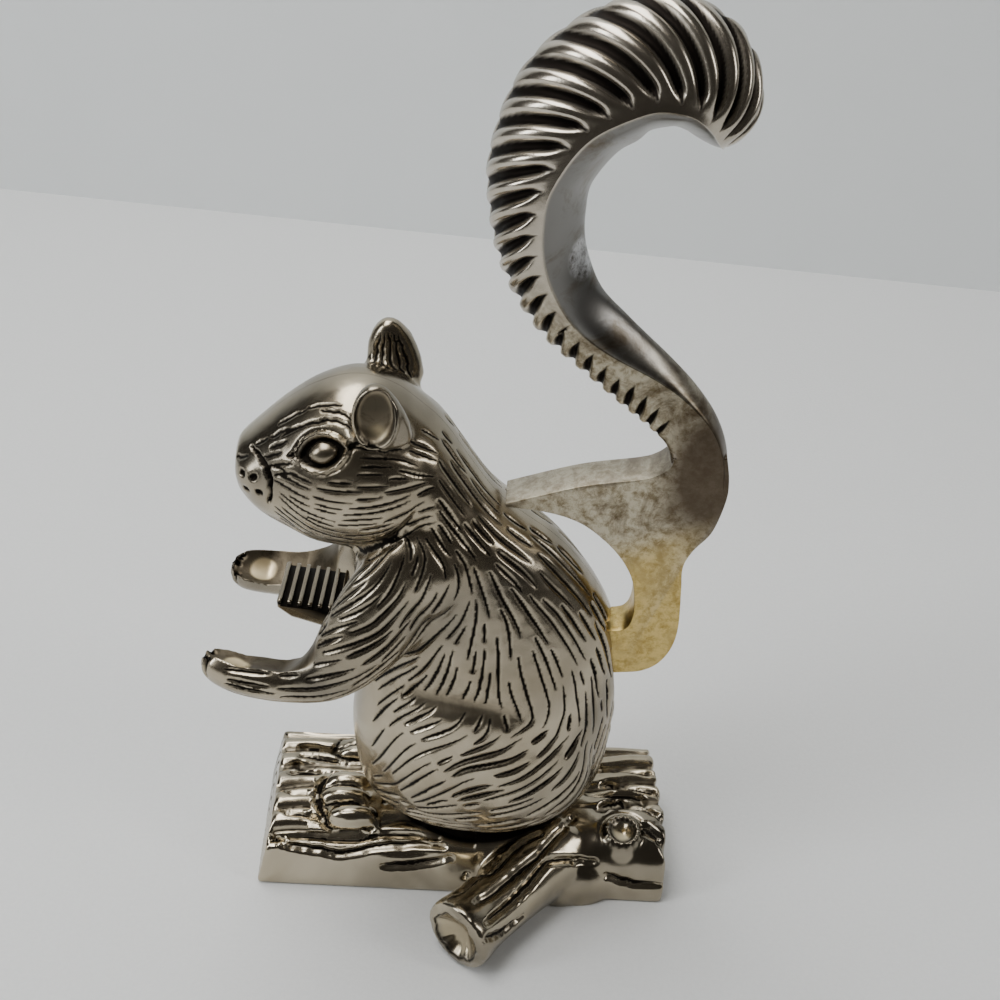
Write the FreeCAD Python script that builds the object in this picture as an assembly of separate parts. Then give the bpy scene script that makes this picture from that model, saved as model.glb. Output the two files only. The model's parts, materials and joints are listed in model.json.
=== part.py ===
import FreeCAD, Part
import math
import os

os.makedirs("parts", exist_ok=True)

V = FreeCAD.Vector
Y_AXIS = V(0, 1, 0)

# Overall sizes, mm. The figure tables below are drawn for a 141 mm figure on a 103 mm log.
FIGURE_HEIGHT = 141.0
LOG_LENGTH = 103.0
LOG_HALF_WIDTH = 18.0
LOG_HEIGHT = 18.5
K = FIGURE_HEIGHT / 141.0
KL = LOG_LENGTH / 103.0

# Castings.
SHELL_WALL = 3.0
LOG_WALL = 2.6
SEAT_HEIGHT = LOG_HEIGHT + 1.0
LEVER_THICKNESS = 9.0
LEVER_SIDE_GAP = 0.8
JAW_WIDTH = 14.6

# Lever pivot.
PIVOT_X = -8.0 * K
PIVOT_Z = 72.0 * K
PIN_RADIUS = 2.5
PIN_HALF_LENGTH = 13.0
LEVER_BOSS_RADIUS = 8.0
FRAME_BOSS_RADIUS = 6.5
WASHER_THICKNESS = 1.0
WASHER_RADIUS = 5.5
RUNNING_CLEARANCE = 0.05
FIXED_CLEARANCE = 0.03
FACE_CLEARANCE = 0.15

# Fixings.
DOWEL_RADIUS = 1.5
DOWEL_HALF_LENGTH = 4.5
DOWEL_BOSS_RADIUS = 3.6
RIVET_RADIUS = 0.9
SCREW_RADIUS = 1.9
SCREW_HEAD_RADIUS = 3.5
SCREW_HEAD_HEIGHT = 2.2
SCREW_BOSS_RADIUS = 4.6
SCREW_SEAT_Z = 9.0
SCREW_GRIP = 7.5
THREAD_CLEARANCE = 0.05

# Ribbed pads.
RIB_PITCH = 2.3
GROOVE_WIDTH = 1.35
GROOVE_DEPTH = 1.3

# Torso, horizontal sections: height, front x, back x, half width.
TORSO = [
    (18.5, -15.0, 27.0, 13.0),
    (23.5, -21.3, 32.2, 18.2),
    (30.0, -24.0, 35.5, 21.3),
    (40.0, -25.2, 37.5, 23.3),
    (50.0, -25.0, 38.4, 23.6),
    (60.0, -22.8, 38.6, 22.3),
    (70.0, -20.4, 37.4, 20.3),
    (80.0, -18.6, 35.2, 18.6),
    (90.0, -16.6, 30.0, 17.0),
    (100.0, -15.2, 22.0, 15.6),
    (110.0, -15.0, 9.5, 14.2),
    (120.0, -15.0, 2.2, 13.0),
    (128.0, -14.6, -3.0, 10.5),
    (133.5, -13.5, -8.0, 5.5),
]

# Head, cross sections: x, middle height, half height, half width.
HEAD = [
    (-49.3, 117.3, 2.4, 2.8),
    (-48.0, 117.0, 5.4, 5.8),
    (-43.5, 116.4, 10.2, 9.8),
    (-37.0, 117.4, 15.0, 13.4),
    (-30.0, 118.2, 18.9, 16.4),
    (-22.0, 119.0, 20.6, 17.8),
    (-14.0, 118.4, 19.4, 17.2),
    (-7.0, 116.5, 15.6, 14.0),
    (-2.5, 114.5, 11.5, 10.0),
]

# Arm, round sections along its path: x, y, z, half width, half height.
ARM = [
    (-4.0, -10.0, 95.0, 8.0, 12.0),
    (-11.5, -15.0, 88.0, 6.6, 11.6),
    (-19.5, -18.0, 79.6, 7.2, 9.6),
    (-28.0, -18.8, 73.2, 6.4, 7.0),
    (-38.0, -18.6, 71.3, 5.6, 5.8),
    (-47.0, -18.0, 72.0, 5.3, 5.5),
    (-53.0, -16.8, 73.4, 4.4, 5.0),
    (-56.3, -16.2, 74.4, 2.2, 2.6),
]

# Tail plume, sections across its spine: x, z, spine heading in degrees, half depth, half width.
PLUME = [
    (38.0, 141.0, 138.0, 6.4, 4.2),
    (28.5, 149.8, 135.0, 7.0, 5.6),
    (21.2, 157.2, 128.0, 7.5, 7.4),
    (15.8, 167.4, 105.0, 8.4, 9.2),
    (14.0, 177.0, 90.0, 9.2, 10.4),
    (14.6, 186.4, 78.0, 10.2, 11.4),
    (20.6, 198.2, 50.0, 11.8, 12.2),
    (32.0, 205.6, 5.0, 12.2, 12.6),
    (41.4, 204.4, -30.0, 11.2, 12.4),
    (46.8, 198.6, -60.0, 8.6, 10.6),
    (48.6, 191.6, -80.0, 5.0, 6.4),
]

# Lever outline in the side view, x and z.
SPUR_TOP = [(10.1, 111.4), (25.7, 116.7), (38.4, 119.2), (42.2, 120.6), (44.6, 122.8), (44.6, 125.2),
            (43.0, 127.6)]
TAIL_FRONT = [(43.0, 127.6), (38.1, 131.8), (27.1, 141.7)]
TAIL_REAR = [(37.9, 151.1), (44.3, 145.8), (49.6, 139.3), (53.8, 132.4), (56.6, 124.0), (57.0, 114.6),
             (55.0, 106.4), (51.4, 101.0)]
FOOT_REAR = [(51.4, 101.0), (49.7, 96.3), (50.0, 89.8), (50.8, 79.4), (50.1, 72.4), (47.3, 66.7),
             (43.0, 63.6), (38.0, 62.6)]
BEAM_BELOW = [(20.0, 62.4), (-2.0, 64.6), (-14.0, 66.6), (-20.0, 70.0), (-26.0, 75.2), (-36.0, 78.6)]
NOSE_END = (-36.0, 81.0)
BEAM_ABOVE = [(-26.0, 81.0), (-14.0, 80.4), (0.0, 79.6), (20.0, 78.6), (35.5, 77.2)]
THROAT = [(35.5, 77.2), (38.2, 78.0), (39.6, 80.5), (39.9, 85.1), (39.0, 91.7), (36.3, 97.5), (32.0, 102.7),
          (26.3, 107.2), (19.2, 109.6), (10.2, 110.6)]

# Lower jaw and anvil outlines in the side view, x and z.
JAW_SIDE = [(-41.6, 84.2), (-26.0, 82.4), (-26.0, 75.4), (-38.4, 79.5), (-41.6, 82.0)]
ANVIL_FRONT = (-31.0, 101.2)
ANVIL_REAR = (-19.0, 95.8)
ANVIL_TOP = 106.0
ANVIL_FLANGE_Z = 103.4
ANVIL_HALF_WIDTH = 5.0
ANVIL_FLANGE_HALF_WIDTH = 7.4

# Openings the lever swings in.
REAR_SLOT = (38.0, 79.6)
CHEST_SLOT = (64.0, 92.5)

DOWELS = [(-24.0, 121.0), (3.0, 100.0), (-15.0, 40.0), (16.0, 34.0)]
SCREWS = [(-6.0, 8.2), (17.0, 7.6)]


def ring(centre, across, up, half_across, half_up, count=12):
    """Return a closed smooth wire of oval shape round `centre`."""
    points = []
    for step in range(count):
        angle = 2.0 * math.pi * step / count
        points.append(centre + across * (half_across * math.cos(angle)) + up * (half_up * math.sin(angle)))
    curve = Part.BSplineCurve()
    curve.interpolate(points, PeriodicFlag=True)
    return Part.Wire([curve.toShape()])


def spline_edge(points):
    """Return one smooth edge through side-view points."""
    curve = Part.BSplineCurve()
    curve.interpolate([V(x * K, 0, z * K) for x, z in points])
    return curve.toShape()


def straight_edges(points):
    """Return line edges joining side-view points in turn."""
    spots = [V(x * K, 0, z * K) for x, z in points]
    return [Part.makeLine(a, b) for a, b in zip(spots, spots[1:])]


def side_prism(points, half_width):
    """Return a prism with a straight-sided side-view outline, centred on y = 0."""
    wire = Part.Wire(straight_edges(points + points[:1]))
    face = Part.Face(wire)
    face.translate(V(0, -half_width, 0))
    return face.extrude(V(0, 2.0 * half_width, 0))


def block(x_range, y_range, z_range):
    """Return a box between the given limits."""
    size = [high - low for low, high in (x_range, y_range, z_range)]
    return Part.makeBox(size[0], size[1], size[2], V(x_range[0], y_range[0], z_range[0]))


def ellipsoid(centre, radii):
    """Return an ellipsoid with axes along X, Y and Z."""
    matrix = FreeCAD.Matrix()
    matrix.scale(radii[0], radii[1], radii[2])
    matrix.move(V(*centre))
    return Part.makeSphere(1.0).transformGeometry(matrix)


def torso_levels():
    """Return the torso table in real sizes, its lowest section set just under the seat."""
    levels = [(z * K, front * K, back * K, half_width * K) for z, front, back, half_width in TORSO]
    return [(SEAT_HEIGHT - 1.0,) + levels[0][1:]] + levels[1:]


def torso_between(level):
    """Return the torso section at any height, between its two nearest table rows."""
    rows = torso_levels()
    upper = next(index for index in range(1, len(rows)) if rows[index][0] >= level)
    low, high = rows[upper - 1], rows[upper]
    share = (level - low[0]) / (high[0] - low[0])
    return tuple(a + (b - a) * share for a, b in zip(low, high))


def torso_solid(inset):
    """Return the torso loft, drawn inwards by `inset`."""
    rows = torso_levels()
    if inset:
        floor = SEAT_HEIGHT + inset
        rows = [torso_between(floor)] + [row for row in rows[:-1] if row[0] > floor + 1.5]
    wires = []
    for level, front, back, half_width in rows:
        centre = V((front + back) / 2.0, 0, level)
        wires.append(ring(centre, V(1, 0, 0), Y_AXIS, (back - front) / 2.0 - inset, half_width - inset))
    return Part.makeLoft(wires, True, False)


def head_solid(inset):
    """Return the head loft, drawn inwards by `inset`."""
    wires = []
    for x, middle, half_height, half_width in HEAD:
        if inset and (x < -45.0):
            continue
        centre = V(x * K, 0, middle * K)
        wires.append(ring(centre, Y_AXIS, V(0, 0, 1), half_width * K - inset, half_height * K - inset))
    return Part.makeLoft(wires, True, False)


def arm_solid():
    """Return the left arm from inside the shoulder to the paw."""
    spots = [V(x * K, y * K, z * K) for x, y, z, _, _ in ARM]
    wires = []
    for index, (_, _, _, half_width, half_height) in enumerate(ARM):
        before = spots[max(index - 1, 0)]
        after = spots[min(index + 1, len(spots) - 1)]
        along = (after - before).normalize()
        across = V(0, 0, 1).cross(along).normalize()
        up = along.cross(across)
        wires.append(ring(spots[index], across, up, half_width * K, half_height * K))
    return Part.makeLoft(wires, True, False)


def left_outer():
    """Return the solid outer form of the left half."""
    form = torso_solid(0.0).fuse(head_solid(0.0))
    form = form.fuse(arm_solid())
    form = form.fuse(ellipsoid((-15.5 * K, -13.6 * K, 139.4 * K), (5.0 * K, 3.4 * K, 7.6 * K)))
    form = form.fuse(ellipsoid((8.0 * K, -13.5 * K, 43.0 * K), (25.0 * K, 11.4 * K, 21.5 * K)))
    keep = block((-80.0 * K, 80.0 * K), (-60.0 * K, 0.0), (SEAT_HEIGHT, 170.0 * K))
    return form.common(keep)


def seat_ring(z):
    """Return the oval on which the body stands."""
    return ring(V(6.0 * K, 0, z), V(1, 0, 0), Y_AXIS, 22.0 * K, 14.0 * K)


def wall_bosses():
    """Return the bosses that grow inwards from the left shell wall."""
    start = -(LEVER_THICKNESS / 2.0 + WASHER_THICKNESS + 2.0 * FACE_CLEARANCE)
    bosses = Part.makeCylinder(FRAME_BOSS_RADIUS, 40.0 * K, V(PIVOT_X, start, PIVOT_Z), V(0, -1, 0))
    for x, z in DOWELS:
        bosses = bosses.fuse(Part.makeCylinder(DOWEL_BOSS_RADIUS, 40.0 * K, V(x * K, 0, z * K), V(0, -1, 0)))
    for x, y in SCREWS:
        top = SEAT_HEIGHT + SCREW_GRIP + 3.0
        bosses = bosses.fuse(Part.makeCylinder(SCREW_BOSS_RADIUS, top, V(x * K, -y * K, 0)))
    pad = block((ANVIL_FRONT[0] * K - 2.5, ANVIL_REAR[0] * K + 2.5), (-ANVIL_FLANGE_HALF_WIDTH - 2.0, 0.0),
                (94.0 * K, ANVIL_TOP * K + 2.0))
    return bosses.fuse(pad)


def anvil_pocket():
    """Return the room that the upper anvil takes out of the halves."""
    stem = block((ANVIL_FRONT[0] * K, ANVIL_REAR[0] * K), (-ANVIL_HALF_WIDTH, ANVIL_HALF_WIDTH),
                 (85.0 * K, ANVIL_TOP * K))
    flange = block((ANVIL_FRONT[0] * K, ANVIL_REAR[0] * K),
                   (-ANVIL_FLANGE_HALF_WIDTH, ANVIL_FLANGE_HALF_WIDTH), (ANVIL_FLANGE_Z * K, ANVIL_TOP * K))
    return stem.fuse(flange)


def body_left_half():
    """Return the left half shell with its arm, ear, bosses and slots."""
    outer = left_outer()
    cavity = torso_solid(SHELL_WALL).fuse(head_solid(SHELL_WALL))
    half = outer.cut(cavity)
    half = half.fuse(wall_bosses().common(outer))
    slot_half = LEVER_THICKNESS / 2.0 + LEVER_SIDE_GAP
    half = half.cut(block((20.0 * K, 60.0 * K), (-slot_half, 1.0), (REAR_SLOT[0] * K, REAR_SLOT[1] * K)))
    half = half.cut(block((-40.0 * K, -10.0 * K), (-slot_half, 1.0), (CHEST_SLOT[0] * K, CHEST_SLOT[1] * K)))
    half = half.cut(anvil_pocket())
    half = half.cut(Part.makeCylinder(PIN_RADIUS + FIXED_CLEARANCE, PIN_HALF_LENGTH + 0.1,
                                      V(PIVOT_X, 0, PIVOT_Z), V(0, -1, 0)))
    for x, z in DOWELS:
        half = half.cut(Part.makeCylinder(DOWEL_RADIUS + FIXED_CLEARANCE, DOWEL_HALF_LENGTH + 0.1,
                                          V(x * K, 0, z * K), V(0, -1, 0)))
    for x, y in SCREWS:
        half = half.cut(Part.makeCylinder(SCREW_RADIUS + THREAD_CLEARANCE, SCREW_GRIP + 0.5,
                                          V(x * K, -y * K, SEAT_HEIGHT)))
    return half


def log_section(x, inset):
    """Return the arched log section at `x`, drawn inwards by `inset`."""
    half_width = LOG_HALF_WIDTH - inset
    height = LOG_HEIGHT - inset
    arch = [(-1.0, 0.0), (-0.985, 0.4), (-0.86, 0.76), (-0.5, 0.96), (0.0, 1.0), (0.5, 0.96), (0.86, 0.76),
            (0.985, 0.4), (1.0, 0.0)]
    base_z = -1.0 if inset else 0.0
    spots = [V(x, y * half_width, base_z + z * (height - base_z)) for y, z in arch]
    curve = Part.BSplineCurve()
    curve.interpolate(spots)
    return Part.Wire([curve.toShape(), Part.makeLine(spots[-1], spots[0])])


def log_solid(inset, front, back):
    """Return the log between two x positions."""
    return Part.makeLoft([log_section(front, inset), log_section(back, inset)], True, True)


def branch_solid():
    """Return the branch stub with its dished cut end."""
    root = V(27.0 * KL, -8.0, 8.0)
    tip = V(2.6 * KL, -38.6, 9.6)
    along = (tip - root).normalize()
    across = V(0, 0, 1).cross(along).normalize()
    up = along.cross(across)
    length = (tip - root).Length
    wires = []
    for share, radius in ((0.0, 8.6), (0.35, 7.2), (0.75, 6.9), (1.0, 7.6)):
        wires.append(ring(root + along * (length * share), across, up, radius, radius))
    branch = Part.makeLoft(wires, True, False)
    dish = Part.makeSphere(11.0, tip + along * 9.3)
    return branch.cut(dish).common(block((-60.0, 120.0), (-80.0, 20.0), (0.0, 40.0)))


def log_base():
    """Return the hollow log casting with branch, knot, toes, seat and screw bosses."""
    front = -49.5 * KL
    back = 53.5 * KL
    log = log_solid(0.0, front, back)
    slope_cut = block((-20.0, 0.0), (-60.0, 60.0), (-5.0, 60.0))
    slope_cut.rotate(V(0, 0, 0), Y_AXIS, 16.0)
    slope_cut.translate(V(front, 0, 0))
    log = log.cut(slope_cut).fuse(branch_solid())
    seat = Part.makeLoft([seat_ring(LOG_HEIGHT - 6.0), seat_ring(SEAT_HEIGHT)], True, True)
    knot = Part.makeCone(5.6, 4.4, 4.0, V(42.0 * KL, -9.6, LOG_HEIGHT - 3.6), V(0, -0.3, 1))
    log = log.fuse(seat).fuse(knot.cut(Part.makeSphere(6.0, V(42.0 * KL, -11.6, LOG_HEIGHT + 5.6))))
    for side in (-1.0, 1.0):
        for offset, y in ((0.0, 4.4), (-1.2, 8.4), (0.6, 12.2)):
            toe = ellipsoid((-26.0 * K + offset, side * y * K, LOG_HEIGHT - 0.4 - 0.12 * y), (6.4, 2.5, 3.2))
            log = log.fuse(toe)
    log = log.cut(log_solid(LOG_WALL, front + 9.0, back - LOG_WALL))
    for side in (-1.0, 1.0):
        for x, y in SCREWS:
            spot = V(x * K, side * y * K, SCREW_SEAT_Z)
            log = log.fuse(Part.makeCylinder(SCREW_BOSS_RADIUS, SEAT_HEIGHT - SCREW_SEAT_Z, spot))
    for side in (-1.0, 1.0):
        for x, y in SCREWS:
            spot = V(x * K, side * y * K, SCREW_SEAT_Z - 1.0)
            log = log.cut(Part.makeCylinder(SCREW_RADIUS + 0.3, 30.0, spot))
    return log.removeSplitter()


def tail_lever():
    """Return the lever casting: tail plume, spur, foot, beam and pivot boss."""
    below = [FOOT_REAR[-1]] + BEAM_BELOW + [NOSE_END, BEAM_ABOVE[0]]
    edges = [spline_edge(SPUR_TOP), spline_edge(TAIL_FRONT)]
    edges += straight_edges([TAIL_FRONT[-1], TAIL_REAR[0]])
    edges += [spline_edge(TAIL_REAR), spline_edge(FOOT_REAR)]
    edges += straight_edges(below)
    edges += straight_edges(BEAM_ABOVE)
    edges += [spline_edge(THROAT)]
    edges += straight_edges([THROAT[-1], SPUR_TOP[0]])
    face = Part.Face(Part.Wire(edges))
    face.translate(V(0, -LEVER_THICKNESS / 2.0, 0))
    lever = face.extrude(V(0, LEVER_THICKNESS, 0))
    boss = Part.makeCylinder(LEVER_BOSS_RADIUS, LEVER_THICKNESS, V(PIVOT_X, -LEVER_THICKNESS / 2.0, PIVOT_Z),
                             Y_AXIS)
    lever = lever.fuse(boss).fuse(plume_solid())
    for step in range(8):
        share = (step + 0.5) / 8.0
        spot = V((41.6 - 13.6 * share) * K, 0, (128.8 + 11.9 * share) * K)
        lever = lever.cut(Part.makeCylinder(0.8, 40.0, spot - Y_AXIS * 20.0, Y_AXIS))
    lever = lever.cut(Part.makeCylinder(PIN_RADIUS + RUNNING_CLEARANCE, 40.0,
                                        V(PIVOT_X, -20.0, PIVOT_Z), Y_AXIS))
    for x, z in RIVETS:
        lever = lever.cut(rivet(x, z, RIVET_RADIUS + FIXED_CLEARANCE))
    return lever.removeSplitter()


def plume_solid():
    """Return the bushy upper tail as one loft along its curled spine."""
    wires = []
    for x, z, heading, half_depth, half_width in PLUME:
        turn = math.radians(heading)
        across = V(-math.sin(turn), 0, math.cos(turn))
        wires.append(ring(V(x * K, 0, z * K), across, Y_AXIS, half_depth * K, half_width * K))
    return Part.makeLoft(wires, True, False)


RIVETS = [(-32.4, 79.3), (-28.4, 78.6)]


def rivet(x, z, radius):
    """Return one cross rivet through the jaw cheeks."""
    return Part.makeCylinder(radius, JAW_WIDTH, V(x * K, -JAW_WIDTH / 2.0, z * K), Y_AXIS)


def rib_grooves(start, end, half_width):
    """Return the groove cutters along a sloping ribbed face in the side view."""
    low = V(start[0] * K, 0, start[1] * K)
    run = V(end[0] * K, 0, end[1] * K) - low
    count = int((run.Length - 1.2) / RIB_PITCH)
    tilt = -math.degrees(math.atan2(run.z, run.x))
    cutters = []
    for step in range(count):
        cutter = block((-GROOVE_WIDTH / 2.0, GROOVE_WIDTH / 2.0), (-half_width, half_width),
                       (-GROOVE_DEPTH, GROOVE_DEPTH))
        cutter.rotate(V(0, 0, 0), Y_AXIS, tilt)
        along = run * ((run.Length - 0.9 - RIB_PITCH * (step + 0.2)) / run.Length)
        cutter.translate(low + along)
        cutters.append(cutter)
    return cutters


def lower_jaw():
    """Return the ribbed lower jaw that straddles the lever's nose."""
    half = JAW_WIDTH / 2.0
    jaw = side_prism(JAW_SIDE, half)
    groove = block((NOSE_END[0] * K, 0.0), (-LEVER_THICKNESS / 2.0, LEVER_THICKNESS / 2.0),
                   (60.0 * K, NOSE_END[1] * K))
    jaw = jaw.cut(groove)
    for cutter in rib_grooves(JAW_SIDE[0], JAW_SIDE[1], half + 1.0):
        jaw = jaw.cut(cutter)
    for x, z in RIVETS:
        jaw = jaw.cut(rivet(x, z, RIVET_RADIUS + FIXED_CLEARANCE))
    return jaw


def upper_anvil():
    """Return the ribbed anvil held by its flange between the halves."""
    outline = [ANVIL_FRONT, ANVIL_REAR, (ANVIL_REAR[0], ANVIL_TOP), (ANVIL_FRONT[0], ANVIL_TOP)]
    anvil = side_prism(outline, ANVIL_HALF_WIDTH)
    flange = block((ANVIL_FRONT[0] * K, ANVIL_REAR[0] * K),
                   (-ANVIL_FLANGE_HALF_WIDTH, ANVIL_FLANGE_HALF_WIDTH), (ANVIL_FLANGE_Z * K, ANVIL_TOP * K))
    anvil = anvil.fuse(flange)
    for cutter in rib_grooves(ANVIL_FRONT, ANVIL_REAR, ANVIL_HALF_WIDTH + 0.0):
        anvil = anvil.cut(cutter)
    return anvil.removeSplitter()


def pivot_pin():
    """Return the plain pin the lever turns on."""
    return Part.makeCylinder(PIN_RADIUS, 2.0 * PIN_HALF_LENGTH, V(PIVOT_X, -PIN_HALF_LENGTH, PIVOT_Z), Y_AXIS)


def pivot_washers():
    """Return the two washers beside the lever's pivot boss."""
    washers = []
    inner = LEVER_THICKNESS / 2.0 + FACE_CLEARANCE
    for start in (inner, -inner - WASHER_THICKNESS):
        disc = Part.makeCylinder(WASHER_RADIUS, WASHER_THICKNESS, V(PIVOT_X, start, PIVOT_Z), Y_AXIS)
        hole = Part.makeCylinder(PIN_RADIUS + RUNNING_CLEARANCE, WASHER_THICKNESS,
                                 V(PIVOT_X, start, PIVOT_Z), Y_AXIS)
        washers.append(disc.cut(hole))
    return Part.makeCompound(washers)


def locating_dowels():
    """Return the dowels across the seam of the two halves."""
    return Part.makeCompound([
        Part.makeCylinder(DOWEL_RADIUS, 2.0 * DOWEL_HALF_LENGTH, V(x * K, -DOWEL_HALF_LENGTH, z * K), Y_AXIS)
        for x, z in DOWELS])


def base_screws():
    """Return the screws that hold the halves down on the log."""
    screws = []
    length = SEAT_HEIGHT + SCREW_GRIP - SCREW_SEAT_Z
    for side in (-1.0, 1.0):
        for x, y in SCREWS:
            spot = V(x * K, side * y * K, SCREW_SEAT_Z)
            under = spot - V(0, 0, SCREW_HEAD_HEIGHT)
            head = Part.makeCylinder(SCREW_HEAD_RADIUS, SCREW_HEAD_HEIGHT, under)
            slot = block((-0.5, 0.5), (-SCREW_HEAD_RADIUS, SCREW_HEAD_RADIUS), (-0.1, 1.0))
            slot.translate(under)
            screws.append(head.cut(slot).fuse(Part.makeCylinder(SCREW_RADIUS, length, spot)))
    return Part.makeCompound(screws)


def jaw_rivets():
    """Return the cross rivets that hold the jaw on the lever's nose."""
    return Part.makeCompound([rivet(x, z, RIVET_RADIUS) for x, z in RIVETS])


left_half = body_left_half()
PARTS = {
    "log_base": log_base(),
    "body_left_half": left_half,
    "body_right_half": left_half.mirror(V(0, 0, 0), Y_AXIS),
    "tail_lever": tail_lever(),
    "lower_jaw": lower_jaw(),
    "upper_anvil": upper_anvil(),
    "pivot_pin": pivot_pin(),
    "pivot_washers": pivot_washers(),
    "locating_dowels": locating_dowels(),
    "base_screws": base_screws(),
    "jaw_rivets": jaw_rivets(),
}

for name, shape in PARTS.items():
    shape.exportStep("parts/" + name + ".step")
    print(name, shape.ShapeType, len(shape.Solids), shape.isValid(), round(shape.Volume, 1))
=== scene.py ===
"""Squirrel nutcracker in antiqued silver plate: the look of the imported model, built around its frame."""

import itertools
import json
import logging
import math
from dataclasses import dataclass, field
from enum import Enum

import bpy
import numpy as np
from mathutils import Matrix, Vector, kdtree


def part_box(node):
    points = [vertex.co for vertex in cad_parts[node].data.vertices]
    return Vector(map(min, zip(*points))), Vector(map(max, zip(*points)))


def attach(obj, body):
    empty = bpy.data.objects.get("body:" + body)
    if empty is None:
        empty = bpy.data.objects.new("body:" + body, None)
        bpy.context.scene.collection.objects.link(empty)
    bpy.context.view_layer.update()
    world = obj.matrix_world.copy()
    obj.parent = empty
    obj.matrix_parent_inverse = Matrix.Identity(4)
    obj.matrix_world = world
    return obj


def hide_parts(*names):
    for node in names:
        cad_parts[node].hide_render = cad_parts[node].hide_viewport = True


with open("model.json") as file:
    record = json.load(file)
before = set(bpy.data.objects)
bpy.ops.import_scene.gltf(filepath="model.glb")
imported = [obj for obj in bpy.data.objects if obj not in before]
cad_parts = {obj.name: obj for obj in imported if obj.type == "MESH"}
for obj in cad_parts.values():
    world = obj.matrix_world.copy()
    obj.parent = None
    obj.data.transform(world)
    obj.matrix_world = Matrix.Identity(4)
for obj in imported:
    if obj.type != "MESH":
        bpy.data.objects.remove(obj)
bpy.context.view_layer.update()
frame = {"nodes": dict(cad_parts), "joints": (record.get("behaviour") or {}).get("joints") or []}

MM = 0.001
LOG = logging.getLogger("nutcracker")
Point = tuple[float, float, float]


class Body(Enum):
    """The rigid bodies of the frame."""

    FIGURE = "figure"
    LEVER = "lever"


# ---------------------------------------------------------------- mesh helpers


def pick(obj: bpy.types.Object) -> None:
    """Make `obj` the only selected and active object."""
    bpy.ops.object.select_all(action="DESELECT")
    obj.select_set(True)
    bpy.context.view_layer.objects.active = obj


def read_points(obj: bpy.types.Object) -> np.ndarray:
    """Return the vertex positions of `obj` as an n by 3 array in metres."""
    flat = np.empty(len(obj.data.vertices) * 3)
    obj.data.vertices.foreach_get("co", flat)
    return flat.reshape(-1, 3)


def write_points(obj: bpy.types.Object, points: np.ndarray) -> None:
    """Set the vertex positions of `obj` from an n by 3 array in metres."""
    obj.data.vertices.foreach_set("co", np.ascontiguousarray(points, float).ravel())
    obj.data.update()


def read_normals(obj: bpy.types.Object) -> np.ndarray:
    """Return the vertex normals of `obj` as an n by 3 array."""
    flat = np.empty(len(obj.data.vertices) * 3, np.float32)
    obj.data.vertex_normals.foreach_get("vector", flat)
    return flat.reshape(-1, 3).astype(float)


def write_values(obj: bpy.types.Object, name: str, values: np.ndarray) -> None:
    """Store one number per vertex under `name` for the materials to read."""
    layer = obj.data.attributes.get(name) or obj.data.attributes.new(name, "FLOAT", "POINT")
    layer.data.foreach_set("value", np.ascontiguousarray(values, np.float32))


def finish_modifier(obj: bpy.types.Object, kind: str, **settings: object) -> None:
    """Add one modifier with its settings and apply it at once."""
    pick(obj)
    modifier = obj.modifiers.new("step", kind)
    for key, value in settings.items():
        setattr(modifier, key, value)
    bpy.ops.object.modifier_apply(modifier=modifier.name)


def join(name: str, pieces: list[bpy.types.Object]) -> bpy.types.Object:
    """Join several meshes into the first one and give it a name."""
    bpy.ops.object.select_all(action="DESELECT")
    for piece in pieces:
        piece.select_set(True)
    bpy.context.view_layer.objects.active = pieces[0]
    if len(pieces) > 1:
        bpy.ops.object.join()
    pieces[0].name = name
    return pieces[0]


def smooth_step(value: np.ndarray, low: float, high: float) -> np.ndarray:
    """Return a smooth 0 to 1 ramp of `value` between two limits."""
    share = np.clip((value - low) / (high - low), 0.0, 1.0)
    return share * share * (3.0 - 2.0 * share)


def through(rows: np.ndarray, share: np.ndarray) -> np.ndarray:
    """Return smooth in-between rows of a table at shares 0 to 1 of its length."""
    last = len(rows) - 1
    spot = np.clip(share, 0.0, 1.0) * last
    index = np.minimum(spot.astype(int), last - 1)
    t = (spot - index)[:, None]
    p0, p1 = rows[np.maximum(index - 1, 0)], rows[index]
    p2, p3 = rows[index + 1], rows[np.minimum(index + 2, last)]
    return p1 + 0.5 * t * (p2 - p0 + t * (2 * p0 - 5 * p1 + 4 * p2 - p3 + t * (3 * (p1 - p2) + p3 - p0)))


def unit(vector: np.ndarray) -> np.ndarray:
    """Return the vector, or each row of vectors, at length one."""
    return vector / np.maximum(np.linalg.norm(vector, axis=-1, keepdims=True), 1e-9)


def ball(name: str, segments: int, rings: int) -> tuple[bpy.types.Object, np.ndarray]:
    """Add a unit ball and return it with its vertex positions."""
    bpy.ops.object.select_all(action="DESELECT")
    bpy.ops.mesh.primitive_uv_sphere_add(segments=segments, ring_count=rings, radius=1.0,
                                         location=(0, 0, 0))
    obj = bpy.context.object
    obj.name = name
    return obj, read_points(obj)


def lofted(name: str, rows: np.ndarray, segments: int = 64, rings: int = 72) -> bpy.types.Object:
    """Shape a ball through oval sections.

    Args:
        name: the object's name.
        rows: per section, in mm: centre (3), across direction (3), up direction (3), half across, half up.
        segments: points round each section.
        rings: points along the form.

    Returns:
        The closed form.
    """
    obj, unit_points = ball(name, segments, rings)
    share = np.arcsin(np.clip(unit_points[:, 2], -1, 1)) / math.pi + 0.5
    angle = np.arctan2(unit_points[:, 1], unit_points[:, 0])
    row = through(rows, share)
    edge = np.minimum(share, 1.0 - share) / 0.03
    tuck = np.sqrt(np.clip(1.0 - np.clip(1.0 - edge, 0.0, 1.0) ** 2, 0.0, 1.0))
    across, up = unit(row[:, 3:6]), unit(row[:, 6:9])
    reach = (np.cos(angle) * row[:, 9] * tuck)[:, None] * across
    reach += (np.sin(angle) * row[:, 10] * tuck)[:, None] * up
    write_points(obj, (row[:, 0:3] + reach) * MM)
    return obj


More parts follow.
